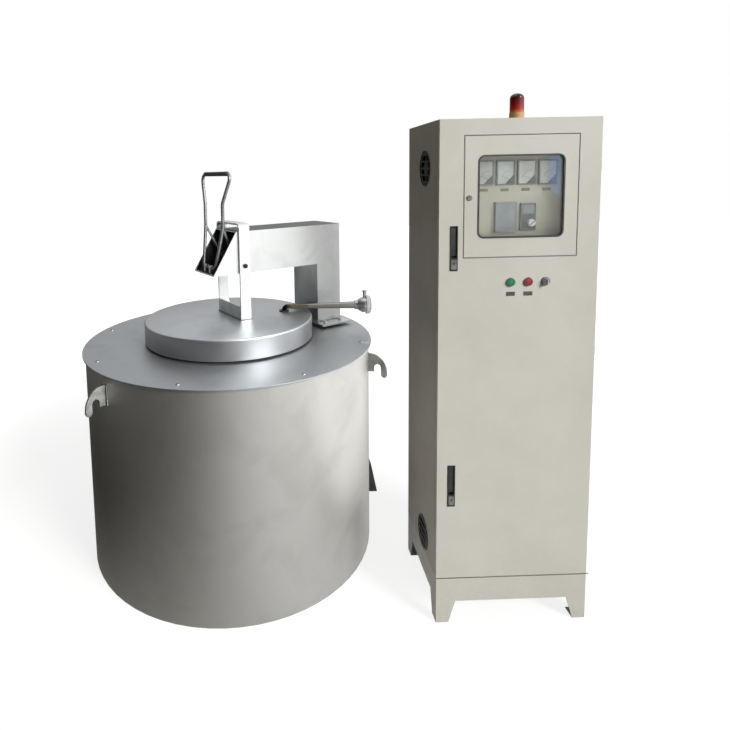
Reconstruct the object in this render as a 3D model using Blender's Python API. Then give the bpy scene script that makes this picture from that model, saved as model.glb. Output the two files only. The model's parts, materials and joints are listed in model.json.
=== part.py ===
"""Induction melting furnace with its power cabinet, as separate parts.

Metres, +Z up. The furnace's axis stands on the origin and its base on z = 0.
The lifting arm is modelled in its own unit: +X runs along the beam, from the
furnace's axis to the column. The cabinet is modelled from its front left foot:
+X to the right, +Y to the back.
"""
import math
from collections import namedtuple

import bmesh
import bpy
from mathutils import Matrix, Vector

# Clearances shared by all parts
FIT = 0.0003
RUNNING_GAP = 0.0015
OVERRUN = 0.010
SHEET = 0.002

# Furnace body
SHELL_RADIUS = 0.626
SHELL_WALL = 0.005
BODY_HEIGHT = 0.892
BASE_THICKNESS = 0.012
TOP_PLATE_LIP = 0.012
TOP_PLATE_THICKNESS = 0.006
RIM_SCREW_COUNT = 8
RIM_SCREW_INSET = 0.044
RIM_SCREW_RADIUS = 0.008
RIM_SCREW_HEIGHT = 0.004
RIM_SCREW_START = math.radians(-149)

# Melting chamber
LID_LAP = 0.024
CRUCIBLE_INSET = 0.017
CRUCIBLE_TAPER = 0.090
CRUCIBLE_WALL = 0.045
CRUCIBLE_DROP = 0.057
CRUCIBLE_BOTTOM = 0.200
CRUCIBLE_CORNER = 0.090
THROAT_LIP = 0.039
JACKET_GAP = 0.015
JACKET_WALL = 0.110
COIL_TURNS = 9
COIL_TUBE = 0.011
COIL_LOW = 0.240
COIL_DROP = 0.037
COIL_STEPS = 20
GASKET_HEIGHT = 0.008
GASKET_INSET = 0.006
GASKET_WIDTH = 0.016

# Lifting hooks round the shell
HOOK_COUNT = 3
HOOK_START = math.radians(-135)
HOOK_DROP = 0.036
HOOK_REACH = 0.081
HOOK_HEIGHT = 0.106
HOOK_FOOT_HEIGHT = 0.080
HOOK_FOOT_WIDTH = 0.026
HOOK_ARM_WIDTH = 0.026
HOOK_SLOT_TOP = 0.046
HOOK_THICKNESS = 0.012

# Cable outlet hood
HOOD_WIDTH = 0.120
HOOD_TOP = 0.297
HOOD_HEIGHT = 0.135
HOOD_DEPTH = 0.036
HOOD_TOP_DEPTH = 0.008
CABLE_HOLE_RADIUS = 0.030

# Lifting arm
ARM_HEADING = 0.542
ARM_RISE = 0.494
COLUMN_LENGTH = 0.135
ARM_WIDTH = 0.202
ARM_WALL = 0.004
BEAM_HEIGHT = 0.186
MOUTH_FOOT = -0.119
MOUTH_HEAD = -0.004
SWIVEL_BASE_RADIUS = 0.075
FOOT_CLEARANCE = 0.0015
POST_RADIUS = 0.030
POST_DROP = 0.086
BEARING_WALL = 0.006
BEARING_FLANGE = 0.010
BEARING_FLANGE_HEIGHT = 0.006
BEARING_DROP = 0.126
BUSH_WALL = 0.006
FOOT_TO_SHELL = 0.0485
FOOT_LENGTH = 0.170
FOOT_WIDTH = 0.330
FOOT_THICKNESS = 0.008
FOOT_BOLT_ALONG = 0.045
FOOT_BOLT_ACROSS = 0.128
FOOT_BOLT_RADIUS = 0.010
FOOT_BOLT_HEIGHT = 0.008

# Lid
LID_TO_FOOT = 0.0315
LID_HEIGHT = 0.0867
LID_SHEET = 0.004
LID_EDGE_RADIUS = 0.006
STIRRUP_PLACE = 0.029
STIRRUP_DEPTH = 0.050
STIRRUP_THICKNESS = 0.008
STIRRUP_GAP = 0.003
STIRRUP_RISE = 0.034
STIRRUP_CORNER = 0.020
STIRRUP_WEB_HEIGHT = 0.060
STIRRUP_BOLT_RADIUS = 0.009
STIRRUP_BOLT_HEIGHT = 0.007
STIRRUP_BOLT_PLACES = (0.040, 0.075)
PIN_RISE = 0.034
PIN_RADIUS = 0.006
PIN_HEAD_RADIUS = 0.010
PIN_HEAD_HEIGHT = 0.008
LID_LIFT = 0.036

# Thermocouple on the lid
PROBE_INSET = 0.130
PROBE_ACROSS = -0.080
PROBE_RADIUS = 0.0105
PROBE_RISE = 0.021
PROBE_ELBOW = 0.0155
PROBE_REACH = 0.330
SLEEVE_START = 0.110
SLEEVE_RADIUS = 0.0165
GLAND_RADIUS = 0.023
GLAND_HEIGHT = 0.005
HEAD_RADIUS = 0.036
HEAD_LENGTH = 0.034
HEAD_CAP_RADIUS = 0.044
HEAD_CAP_LENGTH = 0.022
HEAD_COLLAR_RADIUS = 0.0215
HEAD_COLLAR_LENGTH = 0.018
NUB_RADIUS = 0.010
NUB_HEIGHT = 0.024

# Lifting handle
HANDLE_ROD = 0.0075
HANDLE_PIVOT_PLACE = -0.089
HANDLE_PIVOT_RISE = 0.025
HANDLE_FOOT_HALF = 0.060
HANDLE_APEX_PLACE = -0.061
HANDLE_APEX_RISE = 0.019
HANDLE_WAIST_PLACE = -0.060
HANDLE_WAIST_RISE = 0.122
HANDLE_WAIST_HALF = 0.088
HANDLE_GRIP_PLACE = -0.043
HANDLE_GRIP_RISE = 0.250
HANDLE_GRIP_HALF = 0.148
HANDLE_BEND = 0.024
GRIP_WALL = 0.0025
BRACE_ROD = 0.006
BRACE_EYE_WALL = 0.007
BRACE_EYE_SLOT = 0.009
BRACE_EYE_THICKNESS = 0.008
BRACE_HALF = 0.050
SADDLE_WIDTH = 0.012
SADDLE_RADIUS = 0.013
SADDLE_HALF = 0.025

# Cabinet
CABINET_TO_SHELL = 0.1375
CABINET_Y = -0.6316
CABINET_WIDTH = 0.545
CABINET_DEPTH = 0.400
CABINET_HEIGHT = 1.800
PLINTH_HEIGHT = 0.168
PLINTH_SHEET = 0.003
FOOT_PAD = 0.046
FOOT_PAD_THICKNESS = 0.004
PLINTH_CUT_HEIGHT = 0.082
PLINTH_CUT_SLANT = 0.025
DOOR_DEPTH = 0.022
DOOR_GAP = 0.002
DOOR_SEAL_GAP = 0.003
FRAME_LIP = 0.020

# Window door and what lies behind it
WINDOW_LEFT = 0.0855
WINDOW_RIGHT_MARGIN = 0.077
WINDOW_DROP = 0.0565
WINDOW_HEIGHT = 0.4065
WINDOW_DEPTH = 0.018
WINDOW_GAP = 0.0015
WINDOW_HINGE_INSET = 0.006
WINDOW_HINGE_DEPTH = 0.004
WINDOW_PIN_RADIUS = 0.002
PANE_SIDE_MARGIN = 0.044
PANE_TOP_MARGIN = 0.063
PANE_CORNER = 0.022
SEAL_WIDTH = 0.006
SEAL_LAP = 0.010
SEAL_PROUD = 0.0015
SEAL_DEPTH = 0.006
GLASS_THICKNESS = 0.004
PANEL_DEPTH = 0.060
METER_COUNT = 4
METER_OFFSET = 0.00425
METER_SPACE = 0.009
METER_WIDTH = 0.064
METER_HEIGHT = 0.085
METER_DROP = 0.124
METER_BEZEL = 0.010
METER_RIM = 0.005
METER_RECESS = 0.003
METER_BODY = 0.050
METER_BODY_INSET = 0.008
DISPLAY_OFFSET = -0.03075
DISPLAY_WIDTH = 0.074
DISPLAY_HEIGHT = 0.105
DISPLAY_DROP = 0.277
DISPLAY_PROUD = 0.014
MODULE_OFFSET = 0.04825
MODULE_WIDTH = 0.054
MODULE_HEIGHT = 0.094
MODULE_PROUD = 0.010
MODULE_RIM = 0.004
MODULE_RECESS = 0.0015
KNOB_OFFSET = 0.0095
KNOB_DROP = 0.0205
KNOB_RADIUS = 0.0135
KNOB_HEIGHT = 0.012

# Controls and locks on the doors
BUTTON_COUNT = 3
BUTTON_OFFSET = 0.03025
BUTTON_PITCH = 0.060
BUTTON_DROP = 0.088
BUTTON_HOLE = 0.0112
COLLAR_RADIUS = 0.015
COLLAR_PROUD = 0.006
COLLAR_BORE = 0.0095
COLLAR_NECK = 0.018
STRIP_START = 0.012
STRIP_THICKNESS = 0.003
STRIP_HALF = 0.014
BUTTON_RADIUS = 0.0092
BUTTON_PROUD = 0.008
BUTTON_TRAVEL = 0.004
BUTTON_STEM = 0.020
SELECTOR_LEVER = 0.012
LOCK_PLACE = 0.051
LOCK_WIDTH = 0.027
LOCK_HEIGHT = 0.153
UPPER_LOCK_RISE = 0.031
LOWER_LOCK_RISE = 0.354
LOCK_RIM = 0.0015
LOCK_DEPTH = 0.018
LOCK_POCKET_DEPTH = 0.012
LOCK_BORDER = 0.004
LOCK_BUTTON_HEIGHT = 0.040
LOCK_HANDLE_THICKNESS = 0.008
KEYLOCK_INSET = 0.0165
KEYLOCK_RISE = 0.201
KEYLOCK_RADIUS = 0.0095
KEYLOCK_PROUD = 0.004
KEYLOCK_STEM = 0.006
KEYLOCK_LENGTH = 0.016

# Door hinges at the cabinet's right side
HINGE_COUNT = 3
HINGE_INSET = 0.180
HINGE_RADIUS = 0.005
HINGE_LEAF = 0.002
HINGE_LEAF_LENGTH = 0.030
HINGE_HALF = 0.030
HINGE_PIN_RADIUS = 0.002

# Cooling air through the cabinet's left side
VENT_DEPTH = 0.170
UPPER_VENT_DROP = 0.160
LOWER_VENT_RISE = 0.068
VENT_RADIUS = 0.058
GRILLE_RADIUS = 0.064
GRILLE_THICKNESS = 0.003
GRILLE_SLATS = 5
GRILLE_SLAT = 0.005
FAN_SIZE = 0.124
FAN_LENGTH = 0.038
FAN_STRUT = 0.006
FAN_HUB_RADIUS = 0.020
FAN_PLATE = 0.004
ROTOR_RADIUS = 0.053
ROTOR_LENGTH = 0.024
ROTOR_BLADES = 5
ROTOR_BLADE = 0.002
ROTOR_TWIST = math.radians(38)

# Inside the cabinet
PLATE_MARGIN = 0.045
PLATE_RISE = 0.092
PLATE_DROP = 0.080
PLATE_STANDOFF = 0.015
STANDOFF_RADIUS = 0.008
INVERTER_SIZE = (0.300, 0.150, 0.380)
INVERTER_DROP = 0.120
INVERTER_SINK = 0.060
FIN_COUNT = 9
FIN_THICKNESS = 0.004
CAPACITOR_COUNT = 4
CAPACITOR_RADIUS = 0.038
CAPACITOR_HEIGHT = 0.150
CAPACITOR_PITCH = 0.092
CAPACITOR_DROP = 0.300
SHELF_DEPTH = 0.110
SHELF_LIP = 0.030
SWITCH_DROP = 0.360
SWITCH_SIZES = ((0.054, 0.080), (0.072, 0.085), (0.036, 0.070), (0.120, 0.045))
SWITCH_GAP = 0.012
SWITCH_DEPTH = 0.072
RAIL_HEIGHT = 0.035
RAIL_DEPTH = 0.0075
CABLE_ENTRY = (0.200, 0.090)

# Warning beacon on the roof
BEACON_RIGHT_MARGIN = 0.201
BEACON_RADIUS = 0.026
BEACON_BASE_HEIGHT = 0.036
BEACON_HEIGHT = 0.106
BEACON_LENS_INSET = 0.0015

# Facets on round parts, and how far welded pieces run into each other
WELD = 0.001
LARGE_ROUND = 64
MEDIUM_ROUND = 32
SMALL_ROUND = 16
TINY_ROUND = 10
SHADE_ANGLE = math.radians(35)

# Heights and sizes that follow from the ones above
ARM_REACH = SHELL_RADIUS - FOOT_TO_SHELL - FOOT_LENGTH / 2
LID_RADIUS = ARM_REACH - FOOT_LENGTH / 2 - LID_TO_FOOT
TOP_PLATE_RADIUS = SHELL_RADIUS + TOP_PLATE_LIP
TOP_PLATE_HOLE = LID_RADIUS - LID_LAP
TOP_PLATE_LOW = BODY_HEIGHT + FIT
TOP_PLATE_HIGH = TOP_PLATE_LOW + TOP_PLATE_THICKNESS
CRUCIBLE_RIM_RADIUS = TOP_PLATE_HOLE - CRUCIBLE_INSET
CRUCIBLE_FOOT_RADIUS = CRUCIBLE_RIM_RADIUS - CRUCIBLE_TAPER
CRUCIBLE_TOP = BODY_HEIGHT - CRUCIBLE_DROP
THROAT_RADIUS = CRUCIBLE_RIM_RADIUS - THROAT_LIP
COIL_PITCH = (CRUCIBLE_TOP - COIL_DROP - COIL_LOW) / COIL_TURNS
HOOK_TOP = BODY_HEIGHT - HOOK_DROP
LID_LOW = TOP_PLATE_HIGH + GASKET_HEIGHT + 2 * FIT
LID_HIGH = LID_LOW + LID_HEIGHT
BEAM_TOP = BODY_HEIGHT + ARM_RISE
BEAM_LOW = BEAM_TOP - BEAM_HEIGHT
STIRRUP_TOP = BEAM_TOP + STIRRUP_RISE
PIN_HEIGHT = BEAM_LOW + PIN_RISE
HANDLE_PIVOT_HEIGHT = BEAM_LOW + HANDLE_PIVOT_RISE
HANDLE_APEX_HEIGHT = BEAM_TOP + HANDLE_APEX_RISE
HANDLE_WAIST_HEIGHT = BEAM_TOP + HANDLE_WAIST_RISE
HANDLE_GRIP_HEIGHT = BEAM_TOP + HANDLE_GRIP_RISE
POST_TOP = BEAM_TOP - POST_DROP
BEARING_TOP = BEAM_TOP - BEARING_DROP
SWIVEL_BASE_HEIGHT = GASKET_HEIGHT + FOOT_CLEARANCE
FOOT_LOW = TOP_PLATE_HIGH + SWIVEL_BASE_HEIGHT + 2 * FIT
FOOT_HIGH = FOOT_LOW + FOOT_THICKNESS
FLANGE_LOW = FOOT_HIGH + FIT
FLANGE_HIGH = FLANGE_LOW + BEARING_FLANGE_HEIGHT
COLUMN_LOW = FOOT_HIGH + FIT
COLUMN_NEAR = ARM_REACH - COLUMN_LENGTH / 2
COLUMN_FAR = ARM_REACH + COLUMN_LENGTH / 2
PROBE_ALONG = LID_RADIUS - PROBE_INSET
JACKET_INNER = CRUCIBLE_RIM_RADIUS + JACKET_GAP
JACKET_OUTER = JACKET_INNER + JACKET_WALL
BUSH_BORE = POST_RADIUS + FIT
BUSH_OUTER = BUSH_BORE + BUSH_WALL
BEARING_BORE = BUSH_OUTER + FIT
BEARING_OUTER = BEARING_BORE + BEARING_WALL
CABINET_X = SHELL_RADIUS + CABINET_TO_SHELL
BODY_FRONT = DOOR_DEPTH + DOOR_SEAL_GAP
DOOR_LOW = PLINTH_HEIGHT + DOOR_GAP
WINDOW_RIGHT = CABINET_WIDTH - WINDOW_RIGHT_MARGIN
WINDOW_HIGH = CABINET_HEIGHT - WINDOW_DROP
WINDOW_LOW = WINDOW_HIGH - WINDOW_HEIGHT
WINDOW_MIDDLE = (WINDOW_LEFT + WINDOW_RIGHT) / 2
METER_PITCH = METER_WIDTH + METER_SPACE
METER_FIRST = WINDOW_MIDDLE + METER_OFFSET - METER_PITCH * (METER_COUNT - 1) / 2
METER_CENTRE = WINDOW_HIGH - METER_DROP
DISPLAY_PLACE = WINDOW_MIDDLE + DISPLAY_OFFSET
DISPLAY_CENTRE = WINDOW_HIGH - DISPLAY_DROP
MODULE_PLACE = WINDOW_MIDDLE + MODULE_OFFSET
KNOB_PLACE = MODULE_PLACE + KNOB_OFFSET
KNOB_CENTRE = DISPLAY_CENTRE - KNOB_DROP
BUTTON_FIRST = WINDOW_MIDDLE + BUTTON_OFFSET - BUTTON_PITCH * (BUTTON_COUNT - 1) / 2
BUTTON_CENTRE = WINDOW_LOW - BUTTON_DROP
LOCK_CENTRES = (WINDOW_LOW + UPPER_LOCK_RISE, PLINTH_HEIGHT + LOWER_LOCK_RISE)
KEYLOCK_PLACE = WINDOW_LEFT + KEYLOCK_INSET
KEYLOCK_CENTRE = WINDOW_LOW + KEYLOCK_RISE
HINGE_X = CABINET_WIDTH + HINGE_RADIUS + FIT
HINGE_Y = DOOR_DEPTH + DOOR_SEAL_GAP / 2
HINGE_LOWEST = DOOR_LOW + HINGE_INSET
HINGE_PITCH = (CABINET_HEIGHT - HINGE_INSET - HINGE_LOWEST) / (HINGE_COUNT - 1)
HINGE_CENTRES = [HINGE_LOWEST + HINGE_PITCH * number for number in range(HINGE_COUNT)]
VENT_CENTRES = (CABINET_HEIGHT - UPPER_VENT_DROP, PLINTH_HEIGHT + LOWER_VENT_RISE)
PLATE_LOW = PLINTH_HEIGHT + PLATE_RISE
PLATE_HIGH = CABINET_HEIGHT - PLATE_DROP
SWITCH_LOW = PLATE_HIGH - SWITCH_DROP
INVERTER_LOW = SWITCH_LOW - INVERTER_DROP - INVERTER_SIZE[2]
CAPACITOR_SHELF = INVERTER_LOW - CAPACITOR_DROP
BEACON_PLACE = CABINET_WIDTH - BEACON_RIGHT_MARGIN
BEACON_DEPTH = CABINET_DEPTH / 2
OPENING = (WINDOW_LEFT - WINDOW_GAP, WINDOW_LOW - WINDOW_GAP,
           WINDOW_RIGHT + WINDOW_GAP, WINDOW_HIGH + WINDOW_GAP)

# Finishes: linear colour, roughness, metallic
FINISHES = {
    "satin_steel": ((0.40, 0.40, 0.41), 0.38, 1.0),
    "bright_steel": ((0.62, 0.62, 0.62), 0.28, 1.0),
    "shell_steel": ((0.36, 0.35, 0.34), 0.45, 1.0),
    "black_steel": ((0.02, 0.02, 0.022), 0.55, 0.3),
    "graphite": ((0.05, 0.05, 0.055), 0.7, 0.0),
    "firebrick": ((0.62, 0.48, 0.33), 0.9, 0.0),
    "fibre": ((0.75, 0.74, 0.70), 0.95, 0.0),
    "copper": ((0.75, 0.33, 0.18), 0.35, 1.0),
    "bronze": ((0.55, 0.36, 0.16), 0.4, 1.0),
    "cabinet_paint": ((0.53, 0.52, 0.45), 0.5, 0.0),
    "rubber": ((0.02, 0.02, 0.02), 0.8, 0.0),
    "glass": ((0.85, 0.90, 0.92), 0.05, 0.0),
    "grey_plastic": ((0.25, 0.27, 0.28), 0.5, 0.0),
    "pale_plastic": ((0.72, 0.74, 0.72), 0.4, 0.0),
    "black_plastic": ((0.015, 0.015, 0.017), 0.4, 0.0),
    "green_plastic": ((0.02, 0.22, 0.09), 0.4, 0.0),
    "red_plastic": ((0.45, 0.02, 0.02), 0.35, 0.0),
    "cream_plastic": ((0.78, 0.50, 0.25), 0.45, 0.0),
    "chrome": ((0.75, 0.75, 0.76), 0.15, 1.0),
    "zinc": ((0.50, 0.51, 0.53), 0.4, 1.0),
}

Pivot = namedtuple("Pivot", "empty point")


def clear_scene():
    """Remove whatever the file opened with."""
    for item in list(bpy.data.objects):
        bpy.data.objects.remove(item, do_unlink=True)


def make_pivot(name, point, parent=None, place=None, turn=0.0):
    """An empty on a joint's axis; point is that place in the unit's own measure."""
    empty = bpy.data.objects.new(name, None)
    bpy.context.scene.collection.objects.link(empty)
    point = Vector(point)
    if parent is None:
        empty.location = place if place is not None else point
        empty.rotation_euler = (0.0, 0.0, turn)
    else:
        empty.parent = parent.empty
        empty.location = point - parent.point
    return Pivot(empty, point)


def make_material(name, finish):
    """One Principled material for one part."""
    colour, roughness, metallic = FINISHES[finish]
    material = bpy.data.materials.new(name + "_finish")
    material.use_nodes = True
    shader = material.node_tree.nodes["Principled BSDF"]
    shader.inputs["Base Color"].default_value = (*colour, 1.0)
    shader.inputs["Roughness"].default_value = roughness
    shader.inputs["Metallic"].default_value = metallic
    return material


def make_part(name, solid, finish, pivot=None):
    """Turn a bmesh, built in its unit's measure, into a named part on its pivot."""
    bmesh.ops.recalc_face_normals(solid, faces=solid.faces[:])
    mesh = bpy.data.meshes.new(name)
    solid.to_mesh(mesh)
    solid.free()
    mesh.shade_smooth()
    mesh.set_sharp_from_angle(angle=SHADE_ANGLE)
    part = bpy.data.objects.new(name, mesh)
    bpy.context.scene.collection.objects.link(part)
    mesh.materials.append(make_material(name, finish))
    if pivot is not None:
        part.parent = pivot.empty
        part.location = -pivot.point
    return part


def combine(part, solid, operation):
    """Cut a solid from a part, or join it to the part, with a live Boolean."""
    bmesh.ops.recalc_face_normals(solid, faces=solid.faces[:])
    mesh = bpy.data.meshes.new(part.name + "_tool")
    solid.to_mesh(mesh)
    solid.free()
    tool = bpy.data.objects.new(part.name + "_tool", mesh)
    bpy.context.scene.collection.objects.link(tool)
    tool.hide_render = True
    tool.display_type = "WIRE"
    tool.parent = part.parent
    tool.location = part.location
    boolean = part.modifiers.new(operation.lower(), "BOOLEAN")
    boolean.operation = operation
    boolean.solver = "EXACT"
    boolean.object = tool


def cut(part, solid):
    """Take a solid away from a part."""
    combine(part, solid, "DIFFERENCE")


def join(part, solid):
    """Weld a solid onto a part."""
    combine(part, solid, "UNION")


def arc(centre, radius, start, end, steps):
    """Points along an arc in a plane, both ends included; angles in degrees."""
    points = []
    for step in range(steps + 1):
        angle = math.radians(start + (end - start) * step / steps)
        points.append((centre[0] + radius * math.cos(angle), centre[1] + radius * math.sin(angle)))
    return points


def rounded_rectangle(low, high, radius, steps=4):
    """A rectangle's outline with round corners, counter-clockwise."""
    corners = (((high[0] - radius, high[1] - radius), 0), ((low[0] + radius, high[1] - radius), 90),
               ((low[0] + radius, low[1] + radius), 180), ((high[0] - radius, low[1] + radius), 270))
    points = []
    for centre, start in corners:
        points += arc(centre, radius, start, start + 90, steps)
    return points


def add_prism(solid, outline, axis, low, high):
    """Extrude a flat outline along axis 0, 1 or 2, from low to high."""
    def corner(point, level):
        values = list(point)
        values.insert(axis, level)
        return solid.verts.new(values)
    bottom = [corner(point, low) for point in outline]
    top = [corner(point, high) for point in outline]
    solid.faces.new(bottom)
    solid.faces.new(top[::-1])
    for index in range(len(outline)):
        follow = (index + 1) % len(outline)
        solid.faces.new((bottom[index], bottom[follow], top[follow], top[index]))


def prism(outline, axis, low, high):
    """A new solid that holds one extruded outline."""
    solid = bmesh.new()
    add_prism(solid, outline, axis, low, high)
    return solid


def add_box(solid, low, high):
    """A box between two corners."""
    outline = ((low[0], low[1]), (high[0], low[1]), (high[0], high[1]), (low[0], high[1]))
    add_prism(solid, outline, 2, low[2], high[2])


def box(low, high):
    """A new solid that holds one box."""
    solid = bmesh.new()
    add_box(solid, low, high)
    return solid


def add_lathe(solid, profile, steps, matrix=None):
    """Turn a closed (radius, height) profile about Z; matrix then places it."""
    matrix = matrix or Matrix.Identity(4)
    rings = []
    for radius, height in profile:
        if radius == 0:
            rings.append([solid.verts.new(matrix @ Vector((0, 0, height)))])
            continue
        ring = []
        for step in range(steps):
            angle = math.tau * step / steps
            point = Vector((radius * math.cos(angle), radius * math.sin(angle), height))
            ring.append(solid.verts.new(matrix @ point))
        rings.append(ring)
    for index, ring in enumerate(rings):
        other = rings[(index + 1) % len(rings)]
        if len(ring) == 1 and len(other) == 1:
            continue
        for step in range(steps):
            follow = (step + 1) % steps
            corners = []
            for corner in (ring[step % len(ring)], ring[follow % len(ring)],
                           other[follow % len(other)], other[step % len(other)]):
                if corner not in corners:
                    corners.append(corner)
            solid.faces.new(corners)


def lathe(profile, steps, matrix=None):
    """A new solid that holds one turned profile."""
    solid = bmesh.new()
    add_lathe(solid, profile, steps, matrix)
    return solid


def disc(radius, low, high):
    """Profile of a plain disc."""
    return ((0, low), (radius, low), (radius, high), (0, high))


def ring(inner, outer, low, high):
    """Profile of a plain ring."""
    return ((inner, low), (outer, low), (outer, high), (inner, high))


def along(axis, place):
    """Matrix that turns +Z to another axis and moves it to a place."""
    turn = Vector((0, 0, 1)).rotation_difference(Vector(axis)).to_matrix().to_4x4()
    return Matrix.Translation(Vector(place)) @ turn


def round_corners(points, radius, steps, closed):
    """Points of a bent rod: each corner of a line becomes an arc."""
    path = []
    count = len(points)
    for index, point in enumerate(points):
        if not closed and index in (0, count - 1):
            path.append(Vector(point))
            continue
        corner = Vector(point)
        before = (Vector(points[index - 1]) - corner).normalized()
        after = (Vector(points[(index + 1) % count]) - corner).normalized()
        half = before.angle(after) / 2
        reach = radius / math.tan(half)
        centre = corner + (before + after).normalized() * (radius / math.sin(half))
        start = corner + before * reach - centre
        end = corner + after * reach - centre
        sweep = start.angle(end)
        turns = max(1, round(steps * sweep / (math.pi / 2)))
        for step in range(turns + 1):
            share = step / turns
            spoke = start * math.sin((1 - share) * sweep) + end * math.sin(share * sweep)
            path.append(centre + spoke / math.sin(sweep))
    return path


def add_rod(solid, path, radius, sides, closed=False):
    """Sweep a round section along a path without twisting it."""
    count = len(path)
    tangents = []
    for index in range(count):
        if closed:
            tangents.append((path[(index + 1) % count] - path[index - 1]).normalized())
        else:
            ahead = path[min(index + 1, count - 1)]
            tangents.append((ahead - path[max(index - 1, 0)]).normalized())
    normal = tangents[0].orthogonal().normalized()
    normals = [normal]
    for index in range(1, count):
        normal = tangents[index - 1].rotation_difference(tangents[index]) @ normal
        normals.append((normal - tangents[index] * normal.dot(tangents[index])).normalized())
    drift = 0.0
    if closed:
        final = tangents[-1].rotation_difference(tangents[0]) @ normals[-1]
        drift = final.angle(normals[0])
        if final.cross(normals[0]).dot(tangents[0]) < 0:
            drift = -drift
    rings = []
    for index in range(count):
        side = tangents[index].cross(normals[index])
        loop = []
        for step in range(sides):
            angle = math.tau * step / sides + drift * index / count
            spoke = normals[index] * math.cos(angle) + side * math.sin(angle)
            loop.append(solid.verts.new(path[index] + spoke * radius))
        rings.append(loop)
    for index in range(count if closed else count - 1):
        other = rings[(index + 1) % count]
        for step in range(sides):
            follow = (step + 1) % sides
            solid.faces.new((rings[index][step], rings[index][follow], other[follow], other[step]))
    if not closed:
        solid.faces.new(rings[0][::-1])
        solid.faces.new(rings[-1])


def rod(path, radius, sides, closed=False):
    """A new solid that holds one swept rod."""
    solid = bmesh.new()
    add_rod(solid, path, radius, sides, closed)
    return solid


def add_ring_loft(solid, section, low, high, corner):
    """A frame whose section is given as (growth, depth) pairs round a rectangle in XZ."""
    loops = []
    for growth, depth in section:
        outline = rounded_rectangle((low[0] - growth, low[1] - growth), (high[0] + growth, high[1] + growth),
                                    corner + growth)
        loops.append([solid.verts.new((x, depth, z)) for x, z in outline])
    for index, loop in enumerate(loops):
        other = loops[(index + 1) % len(loops)]
        for step in range(len(loop)):
            follow = (step + 1) % len(loop)
            solid.faces.new((loop[step], loop[follow], other[follow], other[step]))


# Furnace body

def build_shell():
    """The rolled steel shell with its cable hole."""
    profile = ring(SHELL_RADIUS - SHELL_WALL, SHELL_RADIUS, 0, BODY_HEIGHT)
    shell = make_part("furnace_shell", lathe(profile, LARGE_ROUND), "shell_steel")
    middle = HOOD_TOP - HOOD_HEIGHT / 2
    place = (SHELL_RADIUS - SHELL_WALL - OVERRUN, 0, middle)
    hole = disc(CABLE_HOLE_RADIUS, 0, SHELL_WALL + 2 * OVERRUN)
    cut(shell, lathe(hole, SMALL_ROUND, along((1, 0, 0), place)))


def build_base_and_top():
    """The base plate inside the shell, and the top plate with its screw heads."""
    base = disc(SHELL_RADIUS - SHELL_WALL - FIT, 0, BASE_THICKNESS)
    make_part("base_plate", lathe(base, LARGE_ROUND), "black_steel")
    top = ring(TOP_PLATE_HOLE, TOP_PLATE_RADIUS, TOP_PLATE_LOW, TOP_PLATE_HIGH)
    plate = make_part("top_plate", lathe(top, LARGE_ROUND), "satin_steel")
    screws = bmesh.new()
    low, high = TOP_PLATE_HIGH - WELD, TOP_PLATE_HIGH + RIM_SCREW_HEIGHT
    shoulder = TOP_PLATE_HIGH + RIM_SCREW_HEIGHT * 0.45
    profile = ((0, low), (RIM_SCREW_RADIUS, low), (RIM_SCREW_RADIUS, shoulder),
               (RIM_SCREW_RADIUS * 0.6, high), (0, high))
    reach = TOP_PLATE_RADIUS - RIM_SCREW_INSET
    for number in range(RIM_SCREW_COUNT):
        angle = RIM_SCREW_START + math.tau * number / RIM_SCREW_COUNT
        place = Matrix.Translation((reach * math.cos(angle), reach * math.sin(angle), 0))
        add_lathe(screws, profile, TINY_ROUND, place)
    join(plate, screws)


def build_chamber():
    """Crucible, its stand, the fibre jacket, the throat ring and the lid's gasket."""
    corner = CRUCIBLE_CORNER
    inner_corner = corner - CRUCIBLE_WALL
    rim, foot = CRUCIBLE_RIM_RADIUS, CRUCIBLE_FOOT_RADIUS
    outside = [(0, CRUCIBLE_BOTTOM)] + arc((foot - corner, CRUCIBLE_BOTTOM + corner), corner, -90, 0, 4)
    outside += [(rim, CRUCIBLE_TOP)]
    inside = [(rim - CRUCIBLE_WALL, CRUCIBLE_TOP)]
    inside += arc((foot - corner, CRUCIBLE_BOTTOM + corner), inner_corner, 0, -90, 4)
    inside += [(0, CRUCIBLE_BOTTOM + CRUCIBLE_WALL)]
    make_part("crucible", lathe(outside + inside, MEDIUM_ROUND), "graphite")
    stand = disc(CRUCIBLE_FOOT_RADIUS - CRUCIBLE_CORNER, BASE_THICKNESS + FIT, CRUCIBLE_BOTTOM - FIT)
    make_part("crucible_stand", lathe(stand, MEDIUM_ROUND), "firebrick")
    jacket = ring(JACKET_INNER, JACKET_OUTER, BASE_THICKNESS + FIT, CRUCIBLE_TOP)
    make_part("insulation_jacket", lathe(jacket, COIL_STEPS), "fibre")
    low, shoulder = CRUCIBLE_TOP + FIT, TOP_PLATE_LOW - FIT
    throat = ((THROAT_RADIUS, low), (JACKET_OUTER, low), (JACKET_OUTER, shoulder),
              (TOP_PLATE_HOLE - FIT, shoulder), (TOP_PLATE_HOLE - FIT, TOP_PLATE_HIGH),
              (THROAT_RADIUS, TOP_PLATE_HIGH))
    make_part("throat_ring", lathe(throat, MEDIUM_ROUND), "firebrick")
    outer = LID_RADIUS - GASKET_INSET
    gasket = ring(outer - GASKET_WIDTH, outer, TOP_PLATE_HIGH + FIT, TOP_PLATE_HIGH + FIT + GASKET_HEIGHT)
    make_part("lid_gasket", lathe(gasket, MEDIUM_ROUND * 2), "fibre")


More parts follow.
